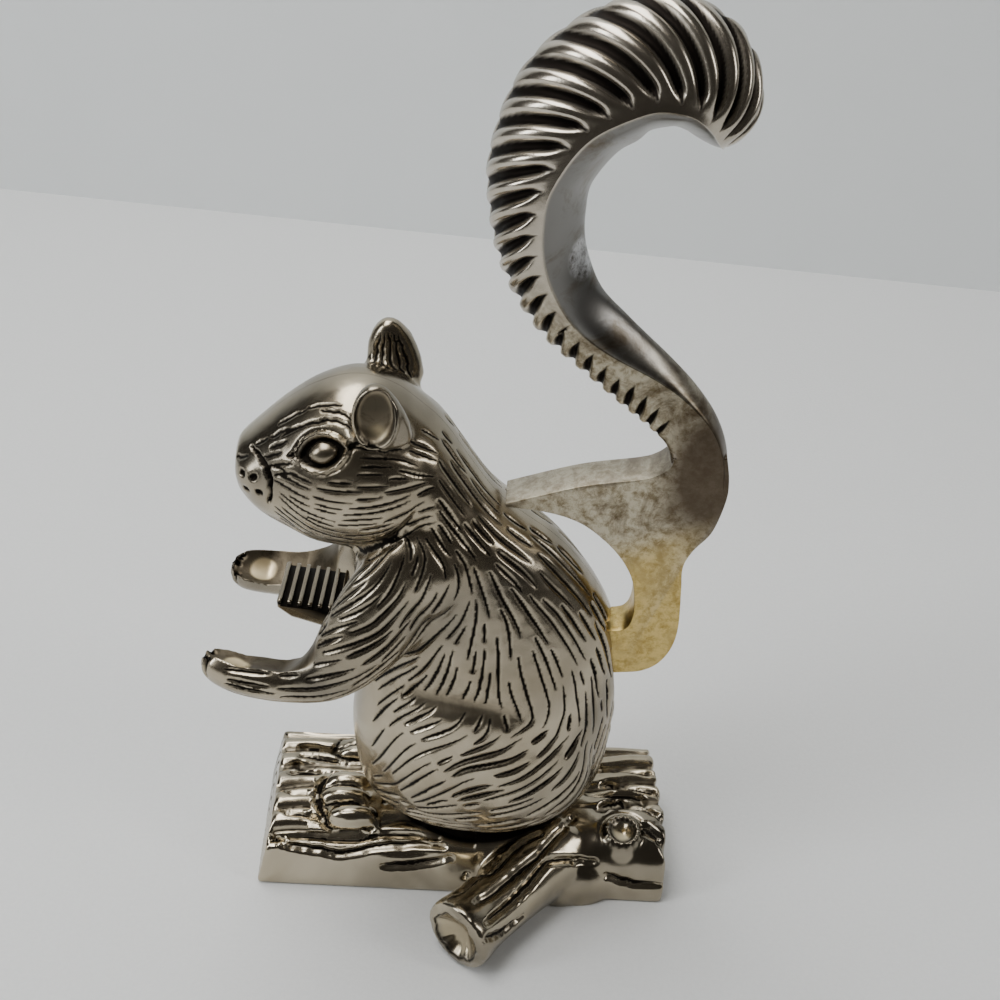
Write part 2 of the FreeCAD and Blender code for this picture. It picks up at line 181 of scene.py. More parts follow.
def lump(name: str, centre: Point, radii: Point, segments: int = 32) -> bpy.types.Object:
    """Add an egg-shaped lump with axes along x, y and z, in mm."""
    obj, unit_points = ball(name, segments, segments // 2)
    write_points(obj, (unit_points * np.array(radii) + np.array(centre)) * MM)
    return obj


def box(name: str, low: Point, high: Point) -> bpy.types.Object:
    """Add a cutting block between two corners, in mm."""
    bpy.ops.object.select_all(action="DESELECT")
    bpy.ops.mesh.primitive_cube_add(size=1.0, location=(0, 0, 0))
    obj = bpy.context.object
    obj.name = name
    low_a, high_a = np.array(low), np.array(high)
    write_points(obj, ((low_a + high_a) / 2 + read_points(obj) * (high_a - low_a)) * MM)
    return obj


def rod(name: str, start: Point, end: Point, radius: float, sides: int = 32) -> bpy.types.Object:
    """Add a round bar between two points, in mm."""
    a, b = Vector(start) * MM, Vector(end) * MM
    bpy.ops.object.select_all(action="DESELECT")
    bpy.ops.mesh.primitive_cylinder_add(vertices=sides, radius=radius * MM, depth=(b - a).length)
    obj = bpy.context.object
    obj.name = name
    turn = (b - a).to_track_quat("Z", "Y").to_matrix().to_4x4()
    obj.data.transform(Matrix.Translation((a + b) / 2) @ turn)
    return obj


def cut_away(obj: bpy.types.Object, cutters: list[bpy.types.Object]) -> None:
    """Take the cutters out of `obj` and remove them."""
    for cutter in cutters:
        finish_modifier(obj, "BOOLEAN", operation="DIFFERENCE", object=cutter, solver="MANIFOLD")
        bpy.data.objects.remove(cutter)


def blend_forms(name: str, forms: list[bpy.types.Object], voxel: float, rounds: int) -> bpy.types.Object:
    """Melt overlapping forms into one skin.

    Args:
        name: the object's name.
        forms: closed forms that overlap.
        voxel: grid of the new skin, in mm.
        rounds: how many rounds of smoothing soften the joins.

    Returns:
        The one closed skin.
    """
    obj = join(name, forms)
    finish_modifier(obj, "REMESH", mode="VOXEL", voxel_size=0.8 * MM)
    finish_modifier(obj, "SMOOTH", factor=0.5, iterations=rounds)
    finish_modifier(obj, "REMESH", mode="VOXEL", voxel_size=voxel * MM)
    finish_modifier(obj, "SMOOTH", factor=0.5, iterations=3)
    return obj


def smooth_shading(obj: bpy.types.Object, angle: float = 60.0) -> None:
    """Shade smooth, with edges sharper than `angle` degrees kept crisp."""
    pick(obj)
    bpy.ops.object.shade_smooth_by_angle(angle=math.radians(angle))


# ---------------------------------------------------------------- engraving

FULL_DEPTH_WIDTH = 0.3
CELL = 2.0
MOST_STARTS = 16000


@dataclass
class Cut:
    """One graver's cut: points, half width at its middle and depth, all in mm.

    Its ends taper to a point, or stop at the share `blunt` of the half width.
    """

    points: np.ndarray
    half_width: float
    depth: float
    blunt: float = 0.0

    def samples(self, spacing: float) -> tuple[np.ndarray, np.ndarray]:
        """Return evenly spread points of the cut and the half width at each."""
        steps = np.linalg.norm(np.diff(self.points, axis=0), axis=1)
        run = np.concatenate([[0.0], np.cumsum(steps)])
        if run[-1] < 1e-6:
            return self.points[:1], np.array([self.half_width])
        count = max(int(run[-1] / spacing) + 1, 4)
        at = np.linspace(0.0, run[-1], count)
        points = np.stack([np.interp(at, run, self.points[:, k]) for k in range(3)], 1)
        share = at / run[-1]
        taper = np.power(np.abs(np.sin(np.pi * share ** 0.72)), 0.8)
        return points, self.half_width * np.maximum(taper, self.blunt)


def engrave(obj: bpy.types.Object, cuts: list[Cut], shoulder: float, spacing: float = 0.2,
            pull: float = 0.33) -> np.ndarray:
    """Sink the cuts into the skin of `obj`, first drawing near points onto each cut's middle line.

    Args:
        obj: the mesh, in metres.
        cuts: the cuts to make.
        shoulder: how far the rounding beside a cut reaches, in mm.
        spacing: how closely the cuts are sampled, in mm.
        pull: how near a point must be to be drawn onto a cut, in mm.

    Returns:
        Per vertex, how far inside a cut it lies, in mm; negative outside.
    """
    parts = [cut.samples(spacing) for cut in cuts]
    spots = np.concatenate([p for p, _ in parts])
    widths = np.concatenate([w for _, w in parts])
    depths = np.concatenate([np.full(len(w), cut.depth) for cut, (_, w) in zip(cuts, parts)])
    ways = np.concatenate([unit(np.gradient(p, axis=0)) if len(p) > 1 else np.zeros_like(p)
                           for p, _ in parts])
    tree = kdtree.KDTree(len(spots))
    for index, spot in enumerate(spots):
        tree.insert(spot, index)
    tree.balance()
    points, normals = read_points(obj) / MM, read_normals(obj)
    inside = np.full(len(points), -2.0)
    sink = np.zeros(len(points))
    low, high = spots.min(0) - 3.0, spots.max(0) + 3.0
    near = np.nonzero(np.all((points > low) & (points < high), axis=1))[0]
    for vertex in near:
        found = tree.find_n(points[vertex], 3)
        if found[0][2] < pull:
            off = spots[found[0][1]] - points[vertex]
            off = off - ways[found[0][1]] * np.dot(off, ways[found[0][1]])
            points[vertex] += 0.85 * (off - normals[vertex] * np.dot(off, normals[vertex]))
            found = tree.find_n(points[vertex], 3)
        for _, index, distance in found:
            amount = widths[index] - distance
            if amount > inside[vertex]:
                inside[vertex] = amount
                share = min(max((amount + shoulder) / (widths[index] + shoulder), 0.0), 1.0)
                thin = min(1.0, widths[index] / FULL_DEPTH_WIDTH)
                sink[vertex] = depths[index] * share * share * (3.0 - 2.0 * share) * thin
    write_points(obj, (points - normals * sink[:, None]) * MM)
    return inside


@dataclass
class Crowd:
    """Remembers where cuts already run, in cells CELL mm wide."""

    cells: dict[tuple[int, int, int], list[tuple[float, float, float]]] = field(default_factory=dict)

    def near(self, spot: np.ndarray, reach: float) -> bool:
        """Return True when a remembered point lies closer to `spot` than `reach`."""
        cx, cy, cz = (int(math.floor(v / CELL)) for v in spot)
        span = range(-1, 2) if reach < CELL else range(-2, 3)
        for dx, dy, dz in itertools.product(span, span, span):
            for x, y, z in self.cells.get((cx + dx, cy + dy, cz + dz), ()):
                if (spot[0] - x) ** 2 + (spot[1] - y) ** 2 + (spot[2] - z) ** 2 < reach * reach:
                    return True
        return False

    def add(self, line: list[np.ndarray]) -> None:
        """Remember the points of one cut."""
        for x, y, z in line:
            key = (int(math.floor(x / CELL)), int(math.floor(y / CELL)), int(math.floor(z / CELL)))
            self.cells.setdefault(key, []).append((x, y, z))


@dataclass
class Comb:
    """Lays fur or bark cuts along a direction field drawn by a few guides.

    Each guide is x, z, heading in degrees in the side view, gap between cuts and length of a cut, in mm.
    `stretch` multiplies the lengths and `tight` the gaps; a cut is walked in steps of `step` mm.
    """

    guides: list[tuple[float, float, float, float, float]]
    half_width: float
    depth: float
    seed: int
    stretch: float = 1.0
    tight: float = 1.0
    step: float = 0.6

    def field(self, points: np.ndarray, normals: np.ndarray) -> tuple[np.ndarray, np.ndarray, np.ndarray]:
        """Blend the guides' directions at every point.

        Args:
            points: the skin's points, in mm.
            normals: the skin's normals there.

        Returns:
            The direction along the skin, the gap between cuts and the length of a cut at each point.
        """
        table = np.array(self.guides)
        away = np.hypot(points[:, 0:1] - table[:, 0], points[:, 2:3] - table[:, 1])
        weight = 1.0 / (away + 0.8) ** 3.2
        weight /= weight.sum(1, keepdims=True)
        turn = np.radians(table[:, 2]) * 2.0
        mean = np.arctan2(weight @ np.sin(turn), weight @ np.cos(turn)) / 2.0
        run = np.zeros_like(points)
        run[:, 0] = np.cos(mean)
        run[:, 2] = np.sin(mean)
        run = unit(run)
        run = unit(run - normals * np.sum(run * normals, 1, keepdims=True))
        return run, self.tight * (weight @ table[:, 3]), self.stretch * (weight @ table[:, 4])

    def lay(self, obj: bpy.types.Object, allowed: np.ndarray) -> list[Cut]:
        """Spread the cuts evenly over the allowed part of a skin.

        Args:
            obj: the mesh, in metres.
            allowed: per vertex, True where a cut may run.

        Returns:
            The cuts.
        """
        rng = np.random.default_rng(self.seed)
        points, normals = read_points(obj) / MM, read_normals(obj)
        run, gap, length = self.field(points, normals)
        tree = kdtree.KDTree(len(points))
        for index, point in enumerate(points):
            tree.insert(point, index)
        tree.balance()
        crowd = Crowd()
        cuts: list[Cut] = []
        seeds = np.nonzero(allowed)[0]
        rng.shuffle(seeds)
        for seed in seeds[:MOST_STARTS]:
            start = points[seed]
            if crowd.near(start, gap[seed]):
                continue
            goal = length[seed] * rng.uniform(0.6, 1.35)
            arms = []
            for way in (1.0, -1.0):
                spot, vertex, walked, arm = start.copy(), int(seed), 0.0, []
                heading = run[vertex] * way
                while walked < goal / 2:
                    heading = run[vertex] * (1.0 if np.dot(run[vertex], heading) > 0 else -1.0)
                    spot = spot + heading * self.step
                    _, vertex, _ = tree.find(spot)
                    if not allowed[vertex]:
                        break
                    spot = spot - normals[vertex] * np.dot(spot - points[vertex], normals[vertex])
                    if crowd.near(spot, gap[vertex] * 0.70):
                        break
                    arm.append(spot)
                    walked += self.step
                arms.append(arm)
            line = arms[1][::-1] + [start] + arms[0]
            if len(line) < 7:
                continue
            crowd.add(line)
            size = rng.uniform(0.75, 1.2) * min(1.0, len(line) * self.step / 4.0 + 0.35)
            size *= min(1.0, gap[seed] / 2.0)
            cuts.append(Cut(np.array(line), self.half_width * size, self.depth * size))
        LOG.info("%d cuts laid on %s", len(cuts), obj.name)
        return cuts


# ---------------------------------------------------------------- finishes


class Graph:
    """A small helper that builds one material's nodes."""

    def __init__(self, name: str) -> None:
        """Start a material with an empty node tree."""
        self.material = bpy.data.materials.new(name)
        self.material.use_nodes = True
        self.tree = self.material.node_tree
        self.tree.nodes.clear()

    def add(self, kind: str, **settings: object) -> bpy.types.Node:
        """Add one node, setting its properties by name."""
        node = self.tree.nodes.new(kind)
        for key, value in settings.items():
            setattr(node, key, value)
        return node

    def wire(self, source: bpy.types.NodeSocket, target: bpy.types.NodeSocket) -> None:
        """Join an output to an input."""
        self.tree.links.new(source, target)

    def ramp(self, source: bpy.types.NodeSocket, stops: list[tuple[float, tuple]]) -> bpy.types.NodeSocket:
        """Return the colour of `source` through a ramp.

        Args:
            source: the value to map.
            stops: positions 0 to 1 with a grey value or a colour each.

        Returns:
            The ramp's colour output.
        """
        node = self.add("ShaderNodeValToRGB")
        elements = node.color_ramp.elements
        while len(elements) < len(stops):
            elements.new(0.5)
        for element, (place, colour) in zip(elements, stops):
            element.position = place
            element.color = tuple(colour) + (1.0,) if len(colour) == 3 else (colour[0],) * 3 + (1.0,)
        self.wire(source, node.inputs["Fac"])
        return node.outputs["Color"]

    def noise(self, scale: float, detail: float, rough: float = 0.55, warp: float = 0.0,
              stretch: Point = (1.0, 1.0, 1.0)) -> bpy.types.NodeSocket:
        """Return a noise value read in object coordinates.

        Args:
            scale: how many features there are per metre.
            detail: how many finer layers are added.
            rough: how strong the finer layers are.
            warp: how far the pattern is distorted.
            stretch: a factor on the scale along each axis.

        Returns:
            The noise's value output.
        """
        place = self.add("ShaderNodeMapping")
        place.inputs["Scale"].default_value = stretch
        self.wire(self.add("ShaderNodeTexCoord").outputs["Object"], place.inputs["Vector"])
        node = self.add("ShaderNodeTexNoise")
        node.inputs["Scale"].default_value = scale
        node.inputs["Detail"].default_value = detail
        node.inputs["Roughness"].default_value = rough
        node.inputs["Distortion"].default_value = warp
        self.wire(place.outputs["Vector"], node.inputs["Vector"])
        return node.outputs["Fac"]

    def blotches(self, scale: float, detail: float, rough: float, warp: float, low: float, high: float,
                 most: float = 1.0) -> bpy.types.NodeSocket:
        """Return noise mapped so that it rises from 0 at `low` to `most` at `high`."""
        return self.ramp(self.noise(scale, detail, rough, warp), [(low, (0.0,)), (high, (most,))])

    def spot(self, centre: Point, radii: Point) -> bpy.types.NodeSocket:
        """Return a value falling from 1 at a centre to 0 at the radii, both in mm of object space."""
        place = self.add("ShaderNodeMapping")
        place.inputs["Scale"].default_value = tuple(1.0 / (r * MM) for r in radii)
        place.inputs["Location"].default_value = tuple(-c / r for c, r in zip(centre, radii))
        self.wire(self.add("ShaderNodeTexCoord").outputs["Object"], place.inputs["Vector"])
        node = self.add("ShaderNodeTexGradient", gradient_type="SPHERICAL")
        self.wire(place.outputs["Vector"], node.inputs["Vector"])
        return node.outputs["Fac"]

    def attribute(self, name: str) -> bpy.types.NodeSocket:
        """Return a per-vertex number stored on the mesh."""
        return self.add("ShaderNodeAttribute", attribute_name=name).outputs["Fac"]

    def mix(self, share: bpy.types.NodeSocket, first: bpy.types.NodeSocket | tuple,
            second: bpy.types.NodeSocket | tuple) -> bpy.types.NodeSocket:
        """Return two colours mixed by `share`; either may be a fixed colour."""
        node = self.add("ShaderNodeMix", data_type="RGBA")
        self.wire(share, node.inputs[0])
        for socket, value in ((node.inputs[6], first), (node.inputs[7], second)):
            if isinstance(value, tuple):
                socket.default_value = value + (1.0,)
            else:
                self.wire(value, socket)
        return node.outputs[2]

    def relief(self, height: bpy.types.NodeSocket, strength: float, distance: float,
               under: bpy.types.NodeSocket | None = None) -> bpy.types.NodeSocket:
        """Return bumps of `height`, `distance` metres high, laid over the bumps `under`."""
        node = self.add("ShaderNodeBump")
        node.inputs["Strength"].default_value = strength
        node.inputs["Distance"].default_value = distance
        self.wire(height, node.inputs["Height"])
        if under is not None:
            self.wire(under, node.inputs["Normal"])
        return node.outputs["Normal"]

    def surface(self, colour: bpy.types.NodeSocket, gloss: bpy.types.NodeSocket | float,
                bumps: bpy.types.NodeSocket, metallic: float = 1.0) -> bpy.types.Material:
        """Close the material with one surface shader.

        Args:
            colour: the base colour.
            gloss: the roughness, as a socket or one number.
            bumps: the bumped normal.
            metallic: 1 for metal, 0 for anything else.

        Returns:
            The finished material.
        """
        shader = self.add("ShaderNodeBsdfPrincipled")
        shader.inputs["Metallic"].default_value = metallic
        self.wire(colour, shader.inputs["Base Color"])
        if isinstance(gloss, float):
            shader.inputs["Roughness"].default_value = gloss
        else:
            self.wire(gloss, shader.inputs["Roughness"])
        self.wire(bumps, shader.inputs["Normal"])
        end = self.add("ShaderNodeOutputMaterial")
        self.wire(shader.outputs["BSDF"], end.inputs["Surface"])
        return self.material


@dataclass(frozen=True)
class Silver:
    """Antiqued silver: polished high spots, near-black recesses, brown and yellow tarnished tones between;
    its dark, brown and golden colours also carry painted shade and a painted highlight.
    """

    name: str
    bright: tuple[float, float, float] = (0.50, 0.44, 0.335)
    warm: tuple[float, float, float] = (0.32, 0.27, 0.19)
    smoky: tuple[float, float, float] = (0.15, 0.135, 0.11)
    tarnish_and_shade: tuple[float, float, float] = (0.13, 0.10, 0.065)
    black: tuple[float, float, float] = (0.012, 0.010, 0.008)
    polish: float = 0.15
    dull: float = 0.32
    spots: float = 0.46
    waviness: float = 0.5

    def material(self) -> bpy.types.Material:
        """Build the material; it reads the vertex numbers groove, tone and bare."""
        graph = Graph(self.name)
        metal = graph.mix(graph.blotches(46.0, 4.0, 0.6, 0.4, 0.35, 0.75), self.bright, self.warm)
        metal = graph.mix(graph.blotches(24.0, 3.0, 0.5, 0.8, 0.44, 0.66, 0.85), metal, self.smoky)
        stains = graph.blotches(210.0, 6.0, 0.7, 0.6, self.spots, self.spots + 0.22)
        # tone mixes towards brown: tarnishing, and painted shade on down-facing faces and in the thigh
        # crease
        metal = graph.mix(graph.attribute("tone"), metal, graph.mix(stains, self.warm, self.tarnish_and_shade))
        # bare turns golden: rubbed metal, and the painted highlight in the ear cup
        metal = graph.mix(graph.attribute("bare"), metal, (0.72, 0.60, 0.38))
        # groove turns black: oxide in the cuts, and painted shade round the seat, in the thigh crease, in
        # the upper ear cup and under the head
        groove = graph.attribute("groove")
        colour = graph.mix(graph.ramp(groove, [(0.12, (0.0,)), (0.72, (1.0,))]), metal, self.black)
        gloss = graph.mix(graph.noise(70.0, 5.0, 0.6), (self.polish,) * 3, (self.dull,) * 3)
        gloss = graph.mix(graph.attribute("tone"), gloss, (0.42,) * 3)
        gloss = graph.mix(groove, gloss, (0.6,) * 3)
        waves = graph.relief(graph.noise(110.0, 2.0, 0.45), self.waviness, 0.0009)
        grain = graph.relief(graph.noise(1800.0, 3.0, 0.6), 0.12, 0.00008, waves)
        return graph.surface(colour, gloss, grain)


@dataclass(frozen=True)
class Plain:
    """A plain metal or matt finish with a little unevenness."""

    name: str
    colour: tuple[float, float, float]
    second: tuple[float, float, float]
    roughness: float
    metallic: float = 1.0
    scale: float = 300.0
    bump: float = 0.0001

    def material(self) -> bpy.types.Material:
        """Build the material."""
        graph = Graph(self.name)
        grain = graph.noise(self.scale, 5.0, 0.6)
        colour = graph.mix(grain, self.colour, self.second)
        return graph.surface(colour, self.roughness, graph.relief(grain, 0.3, self.bump), self.metallic)


# ---------------------------------------------------------------- the figure


@dataclass
class Skin:
    """A mesh being chased, with its look-ups in mm and three numbers per vertex.

    `dark` is black oxide, and painted shade round the seat, in the thigh crease, in the upper ear cup and
    under the head; `tone` is tarnishing, and painted shade on down-facing faces and in the thigh crease;
    `bare` is metal rubbed clean, and a painted highlight in the ear cup.
    """

    obj: bpy.types.Object
    tone: np.ndarray = field(init=False)
    dark: np.ndarray = field(init=False)
    bare: np.ndarray = field(init=False)

    def __post_init__(self) -> None:
        """Start the vertex numbers at zero."""
        count = len(self.obj.data.vertices)
        self.tone, self.dark, self.bare = np.zeros(count), np.zeros(count), np.zeros(count)

    def points(self) -> np.ndarray:
        """Return the vertex positions in mm."""
        return read_points(self.obj) / MM

    def move(self, offset: np.ndarray) -> None:
        """Shift every vertex by its row of `offset`, in mm."""
        write_points(self.obj, (self.points() + offset) * MM)

    def side_line(self, spots: list[tuple[float, float]], facing: float = -1.0) -> np.ndarray:
        """Lay a side-view line on the skin.

        Args:
            spots: x and z of the line's points, in mm.
            facing: which way the skin faces there, -1 for outwards on the left.

        Returns:
            Points on the skin, in mm.
        """
        points, normals = self.points(), read_normals(self.obj)
        keep = np.nonzero(normals[:, 1] * facing > 0.1)[0]
        line = through(np.array(spots, float), np.linspace(0, 1, 4 * len(spots)))
        found = [keep[np.argmin(np.sum((points[keep][:, [0, 2]] - spot) ** 2, axis=1))] for spot in line]
        return points[found]

    def on_skin(self, spots: list[Point]) -> np.ndarray:
        """Return the nearest skin points to a smooth line through `spots`, in mm."""
        points = self.points()
        line = through(np.array(spots, float), np.linspace(0, 1, 6 * len(spots)))
        return np.array([points[np.argmin(np.sum((points - spot) ** 2, axis=1))] for spot in line])

    def chase(self, cuts: list[Cut], shoulder: float, core: float = 0.0) -> None:
        """Engrave cuts and remember where they are dark.

        Args:
            cuts: the cuts to make.
            shoulder: how far the rounding beside a cut reaches, in mm.
            core: how far inside a cut the darkness is nearly full, in mm.
        """
        if not cuts:
            return
        inside = engrave(self.obj, cuts, shoulder)
        self.dark = np.maximum(self.dark, smooth_step(inside, core - 0.2, core + 0.1))

    def store(self) -> None:
        """Write the vertex numbers for the material."""
        write_values(self.obj, "groove", self.dark)
        write_values(self.obj, "tone", self.tone)
        write_values(self.obj, "bare", self.bare)


LEVER_HALF = 4.5
SIDE_GAP = 0.8
BORE_RADIUS = 2.55
BOSS_RADIUS = 8.0
GROOVE_SHARE = 0.235


@dataclass
class FigureHalf:
    """The left half of the squirrel, from which the right half is mirrored. Sizes in mm."""

    torso: list[tuple[float, float, float, float]]
    head: list[tuple[float, float, float, float]]
    arm: list[tuple[float, float, float, float, float]]
    voxel: float
    wall: float = 3.0

    def torso_form(self, inset: float) -> bpy.types.Object:
        """Return the trunk, drawn inwards by `inset`."""
        rows = [((f + b) / 2, 0, z, 1, 0, 0, 0, 1, 0, (b - f) / 2 - inset, w - inset)
                for z, f, b, w in self.torso if w > inset + 2]
        return lofted("torso", np.array(rows, float), 64 if inset else 96, 48 if inset else 96)

    def head_form(self, inset: float) -> bpy.types.Object:
        """Return the head, drawn inwards by `inset`."""
        rows = [(x, 0, z, 0, 1, 0, 0, 0, 1, w - inset, h - inset)
                for x, z, h, w in self.head if h > inset + 3]
        return lofted("head", np.array(rows, float), 64, 48 if inset else 80)

    def arm_form(self) -> bpy.types.Object:
        """Return the left arm as a round tapering form."""
        table = np.array(self.arm, float)
        along = unit(np.gradient(table[:, :3], axis=0))
        across = unit(np.cross(np.array([0.0, 0.0, 1.0]), along))
        rows = np.hstack([table[:, :3], across, np.cross(along, across), table[:, 3:]])
        return lofted("arm", rows, 48, 64)

    def build(self) -> Skin:
        """Return the left half's skin, chased all over, still solid inside."""
        ear = lofted("ear", np.array([
            (-14.6, -12.4, 131, 1, 0, 0, 0, 1, 0, 6.2, 4.2),
            (-15.1, -13.0, 134.5, 1, 0, 0, 0, 1, 0, 6.2, 4.0),
            (-15.6, -13.7, 138, 1, 0, 0, 0, 1, 0, 5.8, 3.6),
            (-16.0, -13.9, 141.3, 1, 0, 0, 0, 1, 0, 4.6, 3.0),
            (-16.2, -13.8, 143.9, 1, 0, 0, 0, 1, 0, 2.9, 2.2),
            (-16.2, -13.7, 145.4, 1, 0, 0, 0, 1, 0, 1.2, 1.0),
        ]), 40, 40)
        forms = [self.torso_form(0.0), self.head_form(0.0), self.arm_form(), ear,
                 lump("haunch", (8.0, -13.5, 43.0), (25.0, 11.4, 21.5), 64),
                 lump("shoulder", (-8.0, -9.0, 97.0), (14.5, 11.0, 13.0), 48)]
        body = blend_forms("body_left", forms, 0.8, 6)
        cut_away(body, [box("far_side", (-90, 1.5, -10), (90, 60, 200))])
        finish_modifier(body, "REMESH", mode="VOXEL", voxel_size=self.voxel * MM)
        finish_modifier(body, "SMOOTH", factor=0.5, iterations=4)
        skin = Skin(body)
        self.shape_arm(skin)
        self.shape_face(skin)
        self.shape_ear(skin)
        self.chase_face(skin)
        self.chase_fur(skin)
        skin.store()
        return skin

    def shape_arm(self, skin: Skin) -> None:
        """Hollow the inner top of the forearm and the palm, and nick the fingers."""
        p = skin.points()
        spine = np.array(self.arm, float)
        spine = spine[np.argsort(spine[:, 0])]
        yc = np.interp(p[:, 0], spine[:, 0], spine[:, 1])
        zc = np.interp(p[:, 0], spine[:, 0], spine[:, 2])
        half = np.interp(p[:, 0], spine[:, 0], spine[:, 3])
        region = (p[:, 1] < -9.0) & (p[:, 2] < 85.0) & (p[:, 2] > 62.0)
        share = smooth_step(-p[:, 0], 29.0, 38.0) * region
        dy, dz = p[:, 1] - yc, p[:, 2] - zc
        lift = 0.42 * dy + 0.91 * dz
        wide = 0.91 * dy - 0.42 * dz
        palm = smooth_step(-p[:, 0], 43.0, 48.0)
        limit = 2.7 - (0.9 + 1.3 * palm) * np.clip(1.0 - (wide / half) ** 2, 0.0, 1.0)
        drop = np.clip(lift - limit, 0.0, None) * share
        offset = np.zeros_like(p)
        offset[:, 1] -= 0.42 * drop
        offset[:, 2] -= 0.91 * drop
        inner = smooth_step(drop, 0.0, 0.25)
        skin.tone = np.maximum(skin.tone, inner)
        skin.dark = np.maximum(skin.dark, 0.5 * inner)
        pad = np.hypot((p[:, 0] + 48.5) / 3.6, wide / 3.4)
        skin.bare = np.maximum(skin.bare, inner * palm * smooth_step(1.0 - pad, 0.0, 0.25))
        skin.dark = skin.dark * (1.0 - skin.bare)
        skin.move(offset)
        cuts = []
        for angle in (-50.0, -17.0, 17.0, 50.0):
            turn = math.radians(angle)
            start = (-52.5 - 4.2 * math.cos(turn), -16.8 + 4.4 * math.sin(turn),
                     76.5 - 1.5 * math.sin(turn))
            end = (-52.5 - 1.2 * math.cos(turn), -16.8 + 2.6 * math.sin(turn), 76.0)
            low = (-52.5 - 4.6 * math.cos(turn), -16.8 + 4.8 * math.sin(turn), 72.0)
            cuts.append(Cut(skin.on_skin([end, start, low]), 0.55, 0.95, 0.6))
        skin.chase(cuts, 0.5)

    def shape_face(self, skin: Skin) -> None:
        """Sink the eye socket, raise the eyeball and its lids, and swell the muzzle pad."""
        p, normals = skin.points(), read_normals(skin.obj)
        centre = skin.on_skin([(-27.6, -14.4, 128.9)] * 2)[0]
        near = np.linalg.norm(p - centre, axis=1) < 3.0
        out = unit(normals[near & (normals[:, 1] < 0)].mean(0))
        along = unit(np.array([0.97, 0.0, 0.24]) - out * np.dot(out, np.array([0.97, 0.0, 0.24])))
        up = np.cross(out, along) * -1.0
        if up[2] < 0:
            up = -up
        rel = p - centre
        u, v, w = rel @ along, rel @ up, rel @ out
        zone = (np.abs(w) < 6.0) & (p[:, 1] < 0)
        length, height = 5.4, 3.35
        radius = (length ** 2 + height ** 2) / (2 * height)
        lens = radius - np.hypot(u, np.abs(v) + radius - height)
        ball_reach = np.abs(u / 3.5) ** 1.7 + np.abs(v / 2.65) ** 1.7
        depth = -1.3 * smooth_step(lens, -0.1, 0.6)
        rise = 2.0 * np.sqrt(np.clip(1.0 - ball_reach, 0.0, 1.0)) * (ball_reach < 1.0)
        lid = 0.6 * np.exp(-((lens + 0.5) / 0.42) ** 2) - 0.35 * np.exp(-((lens + 1.25) / 0.3) ** 2)
        skin.move(normals * ((depth + rise + lid) * zone)[:, None])
        socket = zone * smooth_step(lens, -0.05, 0.35) * smooth_step(ball_reach, 0.86, 1.08)
        skin.dark = np.maximum(skin.dark, socket)
        around = np.exp(-((np.hypot((u - 3.0) / 9.0, (v + 2.0) / 6.0)) ** 2)) * zone
        skin.tone = np.maximum(skin.tone, 0.35 * around)
        p, normals = skin.points(), read_normals(skin.obj)
        pad = np.linalg.norm((p - np.array([-43.5, -7.0, 118.0])) / np.array([5.0, 6.0, 5.5]), axis=1)
        skin.move(normals * (0.7 * smooth_step(1.0 - pad, 0.0, 0.7))[:, None])

    def shape_ear(self, skin: Skin) -> None:
        """Hollow the ear's cup inside a raised rim, darken it with patina that deepens towards the top as
        painted shade, and paint a golden highlight low in the cup.
        """
        p = skin.points()
        u = (p[:, 0] + 16.2) / 4.0
        v = (p[:, 2] - 138.4 - 0.12 * (p[:, 0] + 16.2)) / 6.1
        reach = np.hypot(u, v)
        outside = (p[:, 1] < -14.2) & (p[:, 2] > 131.0)
        offset = np.zeros_like(p)
        offset[:, 1] = 3.0 * np.sqrt(np.clip(1.0 - reach ** 2, 0.0, 1.0)) * outside
        offset[:, 1] -= 0.6 * np.exp(-((reach - 1.14) / 0.12) ** 2) * outside
        skin.move(offset)
        skin.tone = np.maximum(skin.tone, smooth_step(1.0 - reach, 0.0, 0.12) * outside)
        # Patina in the cup, deepened towards its top as painted shade.
        shade = smooth_step(1.0 - reach, 0.05, 0.3) * (0.36 + 0.18 * smooth_step(v, -0.5, 0.3))
        skin.dark = np.maximum(skin.dark, (0.6 * np.exp(-((reach - 0.97) / 0.06) ** 2) + shade) * outside)
        # Painted highlight: a golden spot low in the cup, stored as bare metal.
        spot = 0.8 * np.exp(-(((u - 0.1) / 0.4) ** 2 + ((v + 0.58) / 0.2) ** 2)) * outside
        skin.bare = np.maximum(skin.bare, spot)
        skin.dark = skin.dark * (1.0 - 0.8 * spot)
        cuts = []
        for shift in (-3.4, -1.7, 0.0, 1.7, 3.4):
            line = [(-15.4 + shift * 1.2, -9.0, 133.5), (-15.8 + shift, -10.2, 138.0),
                    (-16.2 + shift * 0.5, -12.0, 142.6)]
            cuts.append(Cut(skin.on_skin(line), 0.34, 0.45))
        skin.chase(cuts, 0.6)

